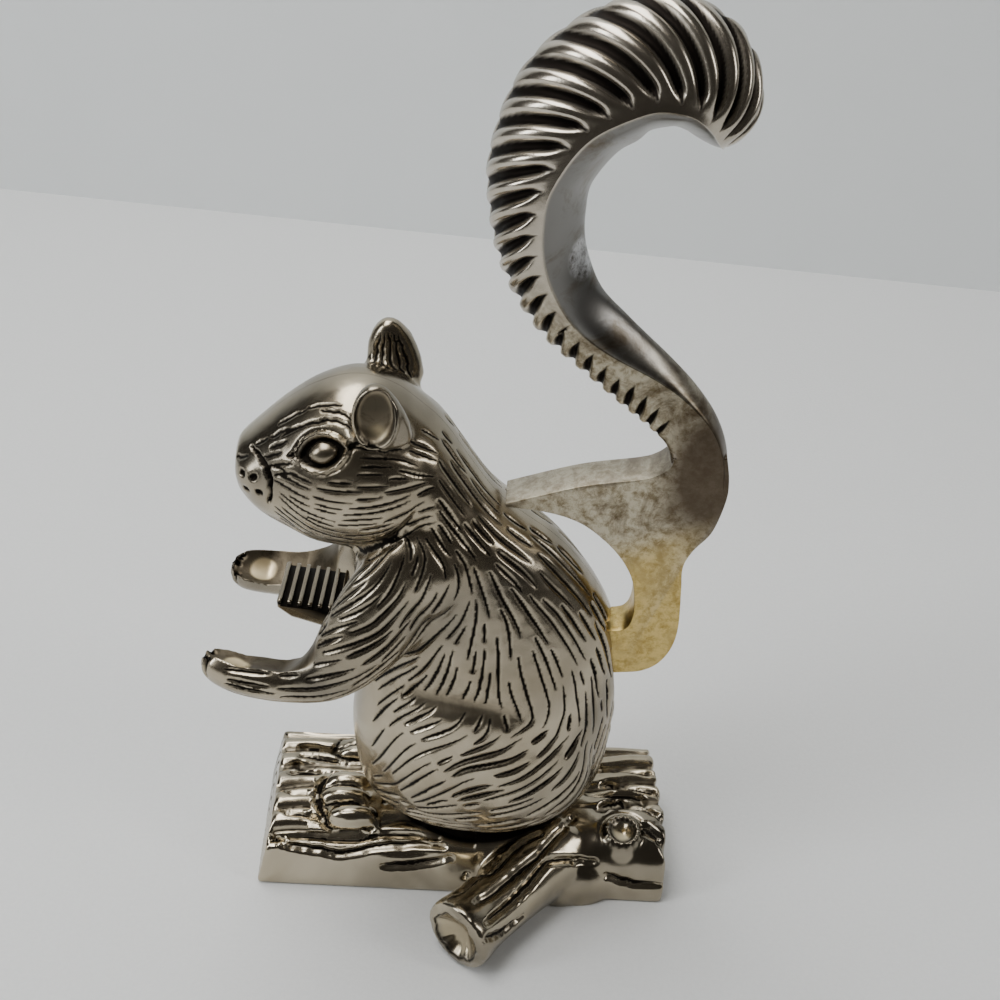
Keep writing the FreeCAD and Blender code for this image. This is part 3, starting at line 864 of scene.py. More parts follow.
    def chase_face(self, skin: Skin) -> None:
        """Cut the muzzle line, nostril, whisker holes, brows and the line under the jaw, whose dark core
        also paints the shadow under the head, then sink the thigh crease with a band of painted shade.
        """
        strokes = [
            [(-37.5, 130.0), (-34.0, 132.8), (-31.0, 134.5)],
            [(-31.0, 134.8), (-27.0, 136.2), (-23.5, 136.8)],
            [(-36.5, 128.8), (-33.0, 131.5), (-29.5, 133.4)],
            [(-31.0, 132.6), (-26.0, 134.4), (-21.0, 134.2)],
            [(-28.0, 135.3), (-24.5, 135.8), (-21.5, 135.4)], [(-42.5, 125.0), (-39.5, 127.4)],
            [(-39.0, 127.6), (-36.5, 129.6), (-34.0, 131.0)], [(-39.0, 126.0), (-35.0, 128.8)],
            [(-40.0, 124.2), (-36.0, 126.5)], [(-39.0, 123.0), (-36.0, 124.4), (-33.5, 125.2)],
            [(-37.5, 121.6), (-35.0, 122.8), (-32.5, 123.4)],
            [(-20.5, 131.6), (-17.0, 132.2), (-13.0, 131.0)],
            [(-22.0, 130.2), (-18.0, 130.6), (-14.0, 129.4)],
        ]
        cuts = [Cut(skin.side_line(line), 0.34, 0.42) for line in strokes]
        cuts.append(Cut(skin.side_line([(-34.6, 126.2), (-33.2, 127.2)]), 0.4, 0.6, 0.4))
        cuts.append(Cut(skin.side_line([(-21.6, 130.8), (-19.8, 132.0)]), 0.4, 0.6, 0.4))
        cuts.append(Cut(skin.on_skin([(-43.6, -6.4, 124.4), (-41.0, -9.6, 123.4), (-39.2, -11.8, 121.2),
                                      (-38.8, -12.4, 117.5), (-39.6, -12.0, 114.4)]), 0.75, 1.0, 0.5))
        cuts.append(Cut(skin.on_skin([(-47.0, -5.0, 120.8), (-45.4, -6.6, 121.8), (-43.8, -7.4, 122.6)]),
                        0.35, 0.5))
        cuts.append(Cut(skin.on_skin([(-48.5, -0.8, 119.0), (-48.6, -0.8, 115.5), (-47.0, -0.8, 112.0)]),
                        0.35, 0.5))
        for spot in ((-45.0, -8.2, 118.8), (-42.6, -10.0, 119.2), (-44.4, -8.9, 115.6),
                     (-41.8, -10.8, 116.0)):
            near = skin.on_skin([spot, (spot[0] + 0.3, spot[1], spot[2])])
            cuts.append(Cut(near, 0.75, 0.9, 1.0))
        skin.chase(cuts, 0.35)
        # The dark core of this cut is oxide in the crease and also a painted shadow under the head.
        under = [(-30.0, -9.0, 103.0), (-26.0, -11.4, 101.6), (-22.0, -12.4, 102.2), (-18.0, -13.2, 104.2),
                 (-13.5, -14.4, 107.6), (-9.5, -14.9, 112.2), (-7.0, -14.6, 117.0)]
        skin.chase([Cut(skin.on_skin(under), 0.7, 0.9)], 1.6, 0.25)
        # Painted shade: a dark, brown band along the sunken crease at the top of the thigh, under the arm.
        crease = [(-12.0, -17.5, 66.4), (-6.0, -19.0, 66.4), (2.0, -21.0, 66.4), (9.0, -21.6, 65.8),
                  (15.0, -21.6, 64.6)]
        p, normals = skin.points(), read_normals(skin.obj)
        line = through(np.array(crease), np.linspace(0, 1, 40))
        gaps = np.linalg.norm(p[:, None, ::2] - line[None, :, ::2], axis=2)
        away = gaps.min(axis=1) + 9.0 * (p[:, 1] > -11.0)
        fade = np.sin(np.pi * (np.argmin(gaps, axis=1) + 2.0) / 43.0) ** 0.7
        skin.move(-normals * (1.4 * fade * np.exp(-(away / 2.6) ** 2))[:, None])
        skin.tone = np.maximum(skin.tone, 0.7 * fade * np.exp(-(away / 3.6) ** 2))
        skin.dark = np.maximum(skin.dark, 0.36 * fade * np.exp(-(away / 1.7) ** 2))

    def chase_fur(self, skin: Skin) -> None:
        """Cover cheeks, arms, back, flank and thigh with fur cuts, and tone down-facing faces darker as
        painted shade.
        """
        p, normals = skin.points(), read_normals(skin.obj)
        left = p[:, 1] < -0.9
        bare = skin.dark > 0.2
        head = (p[:, 2] > 101.0) & (p[:, 0] < -4.0) & (p[:, 2] - 101.0 > (p[:, 0] + 24.0) * 0.55)
        eye = np.hypot((p[:, 0] + 27.5) / 7.6, (p[:, 2] - 128.8) / 5.6) < 1.0
        ear = (p[:, 2] > 130.5) & (p[:, 0] > -23.0) & (p[:, 0] < -8.0)
        muzzle = p[:, 0] < -38.5
        brow = (p[:, 2] > 124.0) & (p[:, 0] < -20.0)
        face = left & head & ~eye & ~ear & ~muzzle & ~brow & ~bare & (normals[:, 1] < -0.25)
        cheek = Comb([
            (-36.0, 121.0, -14, 1.7, 5), (-37.0, 114.0, -38, 1.7, 9), (-33.0, 110.0, -32, 1.8, 9),
            (-29.0, 105.0, -18, 1.8, 8), (-24.0, 102.8, -2, 1.8, 8), (-17.0, 105.0, 22, 1.8, 8),
            (-12.0, 109.5, 38, 1.8, 7), (-29.0, 118.0, -8, 1.6, 5), (-22.0, 122.0, 3, 1.5, 5),
            (-20.0, 115.0, 8, 1.6, 5), (-14.0, 117.0, 12, 1.7, 6), (-14.0, 125.0, 0, 1.8, 6),
            (-9.0, 126.0, -20, 2.0, 6), (-8.0, 118.0, 22, 1.9, 6),
        ], 0.26, 0.38, 11, stretch=2.1, tight=0.9)
        cuts = cheek.lay(skin.obj, face)
        belly = (normals[:, 0] < -0.72) & (p[:, 2] < 62.0) & (p[:, 0] < -15.0)
        scoop = (p[:, 0] < -22.0) & (skin.tone > 0.05)
        inner_arm = (p[:, 0] < -16.0) & (p[:, 2] < 92.0) & (normals[:, 1] > 0.05)
        seam = (p[:, 1] > -3.2) & (normals[:, 1] > -0.5)
        foot = p[:, 2] < 21.5
        elbow = (p[:, 0] < -12.0) & (p[:, 2] > 60.0) & (p[:, 2] < 66.0) & (normals[:, 2] < -0.6)
        body = ~head & ~belly & ~scoop & ~inner_arm & ~bare & ~seam & ~foot & ~elbow
        body &= (p[:, 1] < -1.2) & (p[:, 0] > -50.5) & (p[:, 2] > 22.0)
        coat = Comb([
            (-6.0, 113.0, -58, 2.3, 7), (0.0, 108.0, -55, 2.3, 7), (-7.0, 100.0, 72, 2.2, 9),
            (-12.0, 93.0, 45, 2.2, 9), (-20.0, 88.0, 24, 2.2, 9), (0.0, 95.0, 64, 2.3, 9),
            (-4.0, 85.0, 52, 2.3, 9), (-14.0, 78.0, 30, 2.3, 9), (-26.0, 76.0, 20, 2.2, 9),
            (-34.0, 73.0, 8, 2.2, 9), (-46.0, 72.0, -6, 2.2, 8), (13.0, 102.0, -42, 2.4, 8),
            (22.0, 92.0, -46, 2.4, 8), (15.0, 93.5, -60, 2.4, 9), (6.0, 97.0, -72, 2.3, 8),
            (24.0, 84.0, -60, 2.5, 9), (31.0, 77.0, -64, 2.5, 9), (11.0, 82.0, -86, 2.6, 10),
            (20.0, 72.0, -74, 2.6, 10), (27.0, 63.0, -78, 2.6, 10), (34.0, 60.0, -88, 2.6, 9),
            (3.0, 76.0, 84, 2.5, 9), (2.0, 68.0, 70, 2.5, 8), (14.0, 66.0, -70, 2.6, 10),
            (18.0, 59.0, 32, 2.6, 9), (25.0, 62.0, 68, 2.6, 9), (-16.0, 50.0, 56, 2.5, 9),
            (-9.0, 42.0, 50, 2.5, 10), (-1.0, 47.0, 44, 2.5, 10), (-4.0, 56.0, 30, 2.5, 9),
            (9.0, 50.0, 14, 2.5, 10), (25.0, 54.0, 38, 2.5, 9), (-12.0, 32.0, 30, 2.5, 9),
            (0.0, 30.0, 24, 2.5, 9), (10.0, 38.0, 16, 2.5, 10), (12.0, 27.0, 14, 2.5, 9),
            (24.0, 42.0, 34, 2.5, 9), (26.0, 30.0, 36, 2.5, 9), (34.0, 45.0, 64, 2.5, 9),
            (36.0, 36.0, 66, 2.5, 8),
        ], 0.38, 0.55, 5, stretch=2.0, tight=0.82)
        cuts += coat.lay(skin.obj, body)
        skin.chase(cuts, 0.62)
        # Painted shade: faces turned downwards on the head, arms and chest are toned darker.
        under = smooth_step(-normals[:, 2], 0.2, 0.8) * (p[:, 0] < -8.0) * (p[:, 2] > 60)
        skin.tone = np.maximum(skin.tone, 0.35 * under)

    def hollow(self, skin: Skin) -> None:
        """Trim the half at the seam and the seat, and open its shell, slots and anvil pocket."""
        low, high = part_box("tail_lever")
        gap = min((high.y - low.y) / 2 / MM, LEVER_HALF) + SIDE_GAP
        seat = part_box("body_left_half")[0].z / MM
        anvil_low, anvil_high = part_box("upper_anvil")
        cavity = blend_forms("cavity", [self.torso_form(self.wall), self.head_form(self.wall)], 1.4, 2)
        cut_away(cavity, [box("floor", (-90, -60, -20), (90, 60, seat + self.wall))])
        cutters = [
            box("beyond", (-90, -0.04, -20), (90, 80, 220)), box("under", (-90, -60, -20), (90, 60, seat)),
            cavity,
            box("rear_slot", (20, -gap, 38), (60, 5, 79.6)),
            box("chest_slot", (-40, -gap, 64), (-10, 5, 92.5)),
            box("pocket", (anvil_low.x / MM - 0.02, -5.02, 85),
                (anvil_high.x / MM + 0.02, 5, anvil_high.z / MM)),
        ]
        cut_away(skin.obj, cutters)


def mirrored(source: bpy.types.Object, name: str) -> bpy.types.Object:
    """Return a mirror image of `source` across y = 0, with its own mesh."""
    copy = source.copy()
    copy.data = source.data.copy()
    copy.name = name
    bpy.context.scene.collection.objects.link(copy)
    copy.data.transform(Matrix.Scale(-1.0, 4, (0, 1, 0)))
    copy.data.flip_normals()
    return copy


def prism(name: str, outline: np.ndarray, low: float, high: float,
          frame_axes: str = "xz") -> bpy.types.Object:
    """Extrude a closed outline.

    Args:
        name: the object's name.
        outline: the outline's points in mm, in order.
        low: where the extrusion starts, in mm.
        high: where it ends, in mm.
        frame_axes: the two axes of the outline, "xz" or "yz".

    Returns:
        The closed prism.
    """
    spots = np.asarray(outline, float)
    bpy.ops.object.select_all(action="DESELECT")
    bpy.ops.mesh.primitive_circle_add(vertices=len(spots), fill_type="NGON", radius=1.0)
    obj = bpy.context.object
    obj.name = name
    flat = np.zeros((len(spots), 3))
    first, second = (0, 2) if frame_axes == "xz" else (1, 2)
    rest = 1 if frame_axes == "xz" else 0
    flat[:, first], flat[:, second], flat[:, rest] = spots[:, 0], spots[:, 1], low
    write_points(obj, flat * MM)
    step = [0.0, 0.0, 0.0]
    step[rest] = (high - low) * MM
    bpy.ops.object.mode_set(mode="EDIT")
    bpy.ops.mesh.select_all(action="SELECT")
    bpy.ops.mesh.extrude_region_move(TRANSFORM_OT_translate={"value": step})
    bpy.ops.mesh.select_all(action="SELECT")
    bpy.ops.mesh.normals_make_consistent(inside=False)
    bpy.ops.object.mode_set(mode="OBJECT")
    return obj


def curve(spots: list[tuple[float, float]], count: int) -> np.ndarray:
    """Return `count` smooth side-view points through `spots`."""
    return through(np.array(spots, float), np.linspace(0.0, 1.0, count))


@dataclass
class LogBase:
    """The hollow log with its branch stub, knot and the squirrel's toes. Sizes in mm."""

    half_width: float = 18.0
    height: float = 18.5
    wall: float = 2.6
    voxel: float = 0.42
    knot: Point = (42.4, -10.7, 18.2)
    branch_root: Point = (27.0, -8.0, 8.0)
    branch_tip: Point = (2.6, -38.6, 9.6)

    def log_form(self, inset: float) -> bpy.types.Object:
        """Return the arched log with its sloped end, drawn inwards by `inset`."""
        low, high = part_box("log_base")
        arch = [(-1.0, 0.0), (-0.985, 0.4), (-0.86, 0.76), (-0.5, 0.97), (0.0, 1.0), (0.6, 1.0),
                (1.06, 0.93), (1.18, 0.55), (1.2, 0.0)]
        spots = curve(arch, 60) * np.array([self.half_width - inset, self.height - inset])
        if inset:
            spots = np.vstack([spots, [(spots[-1, 0], -4.0), (-self.half_width + inset, -4.0)]])
        log = prism("log", spots, low.x / MM + inset * 2.0, high.x / MM - inset, "yz")
        p = read_points(log) / MM
        p[:, 0] += np.where(p[:, 0] < 0.0, 0.25 * np.clip(p[:, 2], 0.0, None) - 0.06 * (p[:, 1] + 13.0),
                            -0.10 * np.clip(p[:, 1] + 6.0, 0.0, None))
        write_points(log, p * MM)
        return log

    def branch_form(self) -> bpy.types.Object:
        """Return the branch stub."""
        root, tip = np.array(self.branch_root), np.array(self.branch_tip)
        along = unit(tip - root)
        across = unit(np.cross(np.array([0.0, 0.0, 1.0]), along))
        up = np.cross(along, across)
        rows = [np.concatenate([root + (tip - root) * share, across, up, [radius, radius * 1.02]])
                for share, radius in ((0.0, 11.0), (0.35, 9.0), (0.75, 8.3), (0.93, 9.0), (1.0, 9.0))]
        return lofted("branch", np.array(rows), 48, 64)

    def build(self) -> bpy.types.Object:
        """Return the finished log."""
        forms = [self.log_form(0.0), self.branch_form(), lump("knot", (42.4, -9.4, 12.9), (8.8, 6.8, 5.9)),
                 lump("web", (31.0, -15.5, 3.5), (9.5, 5.0, 8.5), 48),
                 lump("web", (27.5, -17.6, 4.5), (6.0, 4.0, 7.0))]
        seat_rows = [(6, 0, z, 1, 0, 0, 0, 1, 0, 17, 10) for z in (9.0, 14.0, 20.4)]
        forms.append(lofted("seat", np.array(seat_rows, float), 64, 24))
        toes = [(-27.4, 0.6, 18.4, 6.2), (-27.6, -4.9, 18.6, 6.6), (-25.0, -10.2, 17.8, 6.2),
                (-26.4, 10.9, 18.2, 5.4), (-26.2, 14.5, 16.6, 5.2)]
        for x, y, z, length in toes:
            forms.append(lump("toe", (x, y, z), (length, 2.75, 3.2)))
        log = blend_forms("log", forms, self.voxel, 3)
        skin = Skin(log)
        self.shape_bark(skin)
        self.chase_bark(skin)
        self.shape_ends(skin)
        skin.store()
        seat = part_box("body_left_half")[0].z / MM
        cut_away(log, [box("table", (-90, -80, -20), (90, 60, 0.0)),
                       box("seat_top", (-17, -60, seat), (33, 60, 60)),
                       self.log_form(self.wall)])
        return log

    def shape_bark(self, skin: Skin) -> None:
        """Raise long uneven ridges on the log and paint a shadow ring round the figure's seat."""
        p, normals = skin.points(), read_normals(skin.obj)
        x, y = p[:, 0], p[:, 1]
        bend = y + 1.6 * np.sin(x / 9.0) + 0.9 * np.sin(x / 4.3 + 1.0)
        bend = bend + 5.0 * np.exp(-((x - 38.0) / 12.0) ** 2) * (y > -8)
        ridge = np.abs(np.sin(bend * 0.50 + 0.35 * np.sin(x / 13.0 + y * 0.2)))
        high = smooth_step(p[:, 2], 10.5, 14.0)
        top = high * (np.abs(y) < 19.0) * smooth_step(-np.abs(x - 42.4), -8.5, -10.5)
        top = top + high * (y > -4.0) * (np.abs(x - 42.4) < 10.5)
        ends = np.where(x < -40.0, smooth_step(normals[:, 2], 0.3, 0.6), 1.0)
        ends = ends * ~((x > 6.0) & (x < 37.0) & (y < -4.0))
        toes = (x < -18.0) & (x > -36.0) & (y < 3.6) & (y > -14.0)
        depth = 1.5 * (1.0 - ridge) ** 1.3 * np.clip(top, 0, 1) * ends * ~toes
        skin.move(-normals * depth[:, None])
        skin.dark = np.maximum(skin.dark, 0.75 * smooth_step(depth, 1.0, 1.5))
        skin.tone = np.maximum(skin.tone, 0.5 * smooth_step(depth, 0.5, 1.2))
        # Painted shadow: a dark ring on the log's top round where the figure sits.
        foot = np.hypot((x - 6.0) / 21.0, y / 13.4)
        seat_shadow = smooth_step(p[:, 2], 12.0, 14.0) * smooth_step(-foot, -1.2, -1.02)
        skin.dark = np.maximum(skin.dark, 0.85 * seat_shadow)

    def chase_bark(self, skin: Skin) -> None:
        """Cut the gouges, the long bark lines and the dark line round the toes."""
        lay = skin.on_skin
        gouges = [
            ([(-42.5, -3.2, 18), (-39.0, -3.0, 18.4), (-35.4, -4.2, 18.4)], 1.5, 1.5),
            ([(-42.5, -9.0, 17.5), (-38.0, -9.6, 17.4), (-33.4, -11.2, 17)], 1.6, 1.5),
            ([(-45.6, -15.0, 13.6), (-42.2, -15.6, 13.6)], 1.8, 1.9),
            ([(-42.4, 6.2, 18.3), (-37.0, 5.8, 18.3)], 1.3, 1.2),
            ([(-42.0, 13.0, 17), (-32.0, 12.4, 17)], 1.3, 1.2),
        ]
        skin.chase([Cut(lay(line), width, depth, 0.3) for line, width, depth in gouges], 0.5, 1.1)
        lines = [
            [(-42.0, -15.0, 14.6), (-33.0, -14.7, 15), (-24.0, -15.0, 15), (-16.0, -13.6, 15.6),
             (-3.6, -13.9, 15.6)],
            [(-41.8, -16.4, 13), (-33.0, -16.8, 12), (-26.6, -17.2, 11.3), (-17.0, -15.8, 13.6),
             (-1.7, -15.4, 14.1)],
            [(-17.2, -17.8, 8.2), (-10.0, -17.6, 9), (-0.4, -16.9, 11.6)],
            [(-43.0, 3.2, 18.5), (-33.0, 4.0, 18.5)],
            [(-41.5, 9.6, 18), (-37.0, 9.0, 17.8), (-29.5, 7.0, 18.5)],
            [(36.5, -4.4, 18.4), (42.0, -1.8, 18.5), (47.0, -2.6, 18.4), (52.0, -6.0, 18)],
            [(34.0, 1.6, 18.5), (40.0, 0.8, 18.5), (46.0, 0.2, 18.5), (52.0, -2.6, 18.3)],
            [(47.6, -8.6, 17.8), (51.8, -12.3, 16.5)],
            [(38.0, 4.0, 18.4), (44.0, 4.4, 18.4), (52.5, 1.4, 18.4)],
            [(37.0, 10.0, 17.6), (44.0, 9.8, 17.6), (52.0, 8.6, 17.8)],
            [(38.9, -17.8, 8.9), (46.0, -17.9, 6.6), (53.0, -17.9, 6.6)],
            [(3.4, -19.0, 6), (6.0, -22.0, 11), (10.0, -25.4, 15), (14.0, -20.3, 15), (17.0, -16.4, 15),
             (22.0, -13, 16)],
            [(6.8, -35.0, 16.4), (14.3, -27.0, 15.5), (20.6, -19.5, 15.4), (27.0, -11.2, 17),
             (30.0, -7.6, 18)],
            [(9.0, -38.5, 14.8), (14.5, -31.4, 13.9), (19.0, -25.4, 14), (23.5, -19.2, 14.6),
             (30.0, -16.4, 13), (35.5, -16.6, 12.6)],
            [(9.0, -41.0, 13.0), (13.0, -36.7, 10.5), (17.5, -31.0, 9.6)],
            [(2.0, -31.0, 17.0), (8.0, -24.0, 16.8), (12.0, -19.0, 16)],
        ]
        skin.chase([Cut(lay(line), 0.8, 1.25, 0.25) for line in lines], 1.2, 0.3)
        rim = [(-22.5, 3.6, 18.5), (-28.0, 3.9, 18.5), (-33.6, 1.4, 18.5), (-34.9, -4.0, 18.4),
               (-33.0, -9.0, 17.8), (-31.0, -13.0, 16.6), (-26.0, -14.2, 16.2), (-20.0, -13.6, 16.4)]
        skin.chase([Cut(lay(rim), 0.8, 1.3, 0.5)], 0.8, 0.2)
        splits = [[(-22.0, -2.1, 20.5), (-28.0, -2.2, 20.5), (-33.5, -1.8, 18.6)],
                  [(-21.0, -7.4, 20), (-27.0, -7.7, 20), (-32.5, -7.2, 18)]]
        skin.chase([Cut(lay(line), 0.4, 0.7, 0.5) for line in splits], 0.6)
        far = [[(-21.0, 12.7, 18.4), (-26.0, 12.8, 18.6), (-31.0, 12.8, 17)],
               [(-24.0, 8.2, 18.5), (-29.0, 8.4, 18.4), (-32.6, 10.8, 18),
               (-32.4, 14.5, 16.8), (-28.0, 17.2, 14)]]
        skin.chase([Cut(lay(line), 0.5, 0.8, 0.5) for line in far], 0.6)

    def shape_ends(self, skin: Skin) -> None:
        """Dish the branch's cut end and the knot, and ring the log's sloped end."""
        p, normals = skin.points(), read_normals(skin.obj)
        root, tip = np.array(self.branch_root), np.array(self.branch_tip)
        along = unit(tip - root)
        rel = p - tip
        reach = rel @ along
        out = np.linalg.norm(rel - reach[:, None] * along, axis=1)
        angle = np.arctan2(rel @ np.array([0.0, 0.0, 1.0]),
                           rel @ unit(np.cross(along, np.array([0.0, 0.0, 1.0]))))
        edge = 6.4 + 0.22 * np.sin(angle * 7.0) + 0.12 * np.sin(angle * 13.0)
        face = (reach > -1.6)
        dish = np.clip(1.0 - (out / edge) ** 2, 0.0, 1.0) * face
        lip = np.exp(-((out - edge - 0.5) / 0.45) ** 2) * face * (0.75 + 0.25 * np.sin(angle * 9.0))
        skin.move(along * (-3.0 * dish + 0.5 * lip)[:, None])
        skin.bare = np.maximum(skin.bare, 0.35 * smooth_step(dish, 0.1, 0.4))
        skin.dark = np.maximum(skin.dark, 0.8 * np.exp(-((out - edge) / 0.3) ** 2) * face)
        p = skin.points()
        u, v = p[:, 0] - self.knot[0], p[:, 1] - self.knot[1]
        turn, reach = np.arctan2(v, u), np.hypot(u, v)
        top = (p[:, 2] > 11.0)
        teeth = 0.5 + 0.5 * np.cos(turn * 16.0)
        offset = np.zeros_like(p)
        ridge = 0.9 * np.exp(-((reach - 3.9) / 0.75) ** 2) * (0.55 + 0.45 * teeth)
        cup = 1.6 * np.clip(1.0 - (reach / 3.4) ** 2, 0.0, 1.0)
        moat = 0.35 * np.exp(-((reach - 5.3) / 0.7) ** 2)
        offset[:, 2] = top * (ridge - cup - moat)
        skin.move(offset)
        inner_line = top * 0.75 * np.exp(-((reach - 3.1) / 0.4) ** 2) * (0.5 + 0.5 * teeth)
        skin.dark = np.maximum(skin.dark, inner_line)
        skin.bare = np.maximum(skin.bare, top * 0.7 * smooth_step(-reach, -2.6, -1.5))
        left = (normals[:, 0] < -0.8) & (p[:, 0] < -40.0)
        rings = np.abs(np.sin(np.hypot(p[:, 1] * 0.9, p[:, 2] - 4.0) * 1.15 + 0.4 * np.sin(p[:, 1] * 0.5)))
        cut = smooth_step(0.3 - rings, 0.0, 0.3) * left * (p[:, 2] < 15.5)
        skin.move(-normals * (0.5 * cut)[:, None])
        skin.dark = np.maximum(skin.dark, 0.8 * cut)


@dataclass
class TailLever:
    """The flat lever with its spur and foot, and the curled ribbed tail that grows from it. Sizes in mm."""

    rows: list[tuple[float, ...]]
    pitches: tuple[float, ...] = (3.5, 3.7, 3.9, 4.5, 4.4)
    slant: float = 0.5

    def section(self, row: np.ndarray, angle: np.ndarray) -> tuple[np.ndarray, np.ndarray]:
        """Return outward and sideways offsets of section points.

        Args:
            row: rows of x, z, heading, half depth, half width, front squareness, rim share.
            angle: the angle round the section, zero at the outer silhouette.

        Returns:
            The offset outwards and the offset along y, in mm.
        """
        depth, width, square, rim = row[:, 3], row[:, 4], row[:, 5], row[:, 6] * row[:, 3]
        c, s = np.cos(angle), np.sin(angle)
        power = 2.0 / square
        front_a = rim + (depth - rim) * np.abs(c) ** power
        front_b = width * np.abs(s) ** power
        back_a = rim - (depth + rim) * np.abs(c) ** 1.05
        back_b = width * (np.abs(s) ** 1.25 - 0.10 * np.sin(2.0 * angle) ** 2)
        return np.where(c > 0, front_a, back_a), np.sign(s) * np.where(c > 0, front_b, back_b)

    def plain_tail(self) -> tuple[bpy.types.Object, np.ndarray, np.ndarray, np.ndarray]:
        """Shape the tail without its ribs.

        Returns:
            The tail, its points in mm, and per vertex the share along the tail and the angle round it.
        """
        tail, ball_points = ball("tail", 152, 560)
        share = np.arcsin(np.clip(ball_points[:, 2], -1, 1)) / math.pi + 0.5
        angle = np.arctan2(ball_points[:, 1], ball_points[:, 0])
        row = through(np.array(self.rows, float), share)
        closing = 1.0 - np.minimum(share / 0.01, (1 - share) / 0.06)
        tuck = np.sqrt(np.clip(1.0 - np.clip(closing, 0, 1) ** 2, 0, 1))
        out, side = self.section(row, angle)
        turn = np.radians(row[:, 2])
        across = np.stack([-np.sin(turn), np.zeros_like(turn), np.cos(turn)], 1)
        spine = np.stack([row[:, 0], np.zeros_like(turn), row[:, 1]], 1)
        points = spine + across * (out * tuck)[:, None]
        points[:, 1] += side * tuck
        write_points(tail, points * MM)
        tail.data.flip_normals()
        return tail, points, share, angle

    def round_section(self, share: np.ndarray, angle: np.ndarray) -> tuple[np.ndarray, np.ndarray]:
        """Measure round the section from the outer silhouette, in mm.

        Args:
            share: per vertex, the share along the tail.
            angle: per vertex, the angle round it.

        Returns:
            The distance to each vertex, and to the rim beside it.
        """
        table = np.array(self.rows, float)
        grid = np.linspace(0.0, 1.0, 121)
        steps = np.linspace(0.0, math.pi, 91)
        arcs = np.zeros((121, 91))
        for index, at in enumerate(grid):
            a, b = self.section(np.repeat(through(table, np.array([at])), 91, 0), steps)
            arcs[index, 1:] = np.cumsum(np.hypot(np.diff(a), np.diff(b)))
        spot = np.abs(angle) / math.pi * 90.0
        low = np.minimum(spot.astype(int), 89)
        row_low = np.minimum((share * 120).astype(int), 119)
        part = share * 120 - row_low
        near = arcs[row_low, low] * (low + 1 - spot) + arcs[row_low, low + 1] * (spot - low)
        far = arcs[row_low + 1, low] * (low + 1 - spot) + arcs[row_low + 1, low + 1] * (spot - low)
        return near * (1.0 - part) + far * part, np.interp(share, grid, arcs[:, 45])

    def ribs(self, share: np.ndarray, angle: np.ndarray) -> tuple[np.ndarray, np.ndarray, np.ndarray]:
        """Lay out the slanting grooves between the ribs.

        Args:
            share: per vertex, the share along the tail.
            angle: per vertex, the angle round it.

        Returns:
            Per vertex, how far it is from a groove's middle in pitches, how much of the groove's
            strength is left there, and how far round the section it lies in mm.
        """
        grid = np.linspace(0.0, 1.0, 121)
        run = through(np.array(self.rows, float), grid)
        length = np.concatenate([[0.0], np.cumsum(np.hypot(np.diff(run[:, 0]), np.diff(run[:, 1])))])
        arc, rim_arc = self.round_section(share, angle)
        s = np.interp(share, grid, length)
        total = length[-1]
        corner = np.interp(share, [0.0, 0.30, 0.42], [4.5, 4.8, 0.0])
        reach = np.interp(share, [0.0, 0.12, 0.30, 0.42, 0.5, 1.0], [1.6, 2.8, 5.0, 0.0, 0.0, 0.0])
        root_limit = corner + reach + smooth_step(share, 0.30, 0.42) * 0.86 * rim_arc
        limit = np.where(share < 0.42, np.minimum(root_limit, 0.92 * rim_arc), 0.95 * rim_arc)
        slant = self.slant + 0.2 * smooth_step(s, total - 34.0, total - 4.0)
        steps = np.linspace(-30.0, total, 600)
        pitch = np.interp(steps / total, [0.0, 0.2, 0.45, 0.62, 1.0], self.pitches)
        count = np.concatenate([[0.0], np.cumsum(np.diff(steps) / pitch[1:])])
        phase = np.interp(s - slant * arc, steps, count)
        fade = smooth_step(limit - arc, -0.2, 4.0) * smooth_step(s, 15.0, 20.0)
        fade = fade * smooth_step(total - s, 0.8, 4.5)
        return np.abs(phase - np.round(phase)), fade, arc

    def tail_form(self) -> tuple[bpy.types.Object, np.ndarray, np.ndarray]:
        """Shape the ribbed tail.

        Returns:
            The tail, and per vertex how deep in a groove it lies and how far to the rear band.
        """
        tail, points, share, angle = self.plain_tail()
        frac, fade, arc = self.ribs(share, angle)
        half = GROOVE_SHARE * np.clip(fade, 0.0, 1.0) ** 0.5 + 0.0001
        inside = (half - frac) / GROOVE_SHARE
        size = np.interp(share, [0.0, 0.25, 0.45, 1.0], [0.7, 1.1, 1.6, 1.6])
        sink = size * smooth_step(inside, -0.55, 0.85) * np.clip(fade * 1.3, 0.0, 1.0)
        sink *= 0.35 + 0.65 * smooth_step(arc, 0.0, 6.0)
        swell = 0.2 * smooth_step(frac, 0.2, 0.5) * fade * smooth_step(share, 0.3, 0.5)
        rim = np.exp(-((np.abs(angle) - math.pi * 0.5) / 0.045) ** 2) * smooth_step(share, 0.34, 0.44)
        normals = read_normals(tail)
        write_points(tail, (points + normals * (swell - sink + 0.3 * rim)[:, None]) * MM)
        dark = smooth_step(inside, -0.1, 0.3) * (fade > 0.03)
        line = np.exp(-((np.abs(angle) - math.pi * 0.515) / 0.02) ** 2)
        dark = np.maximum(dark, 0.9 * (line * (1 - smooth_step(share, 0.36, 0.44))))
        band = smooth_step(np.abs(angle), math.pi * 0.5, math.pi * 0.53) * smooth_step(share, 0.10, 0.40)
        return tail, dark, band

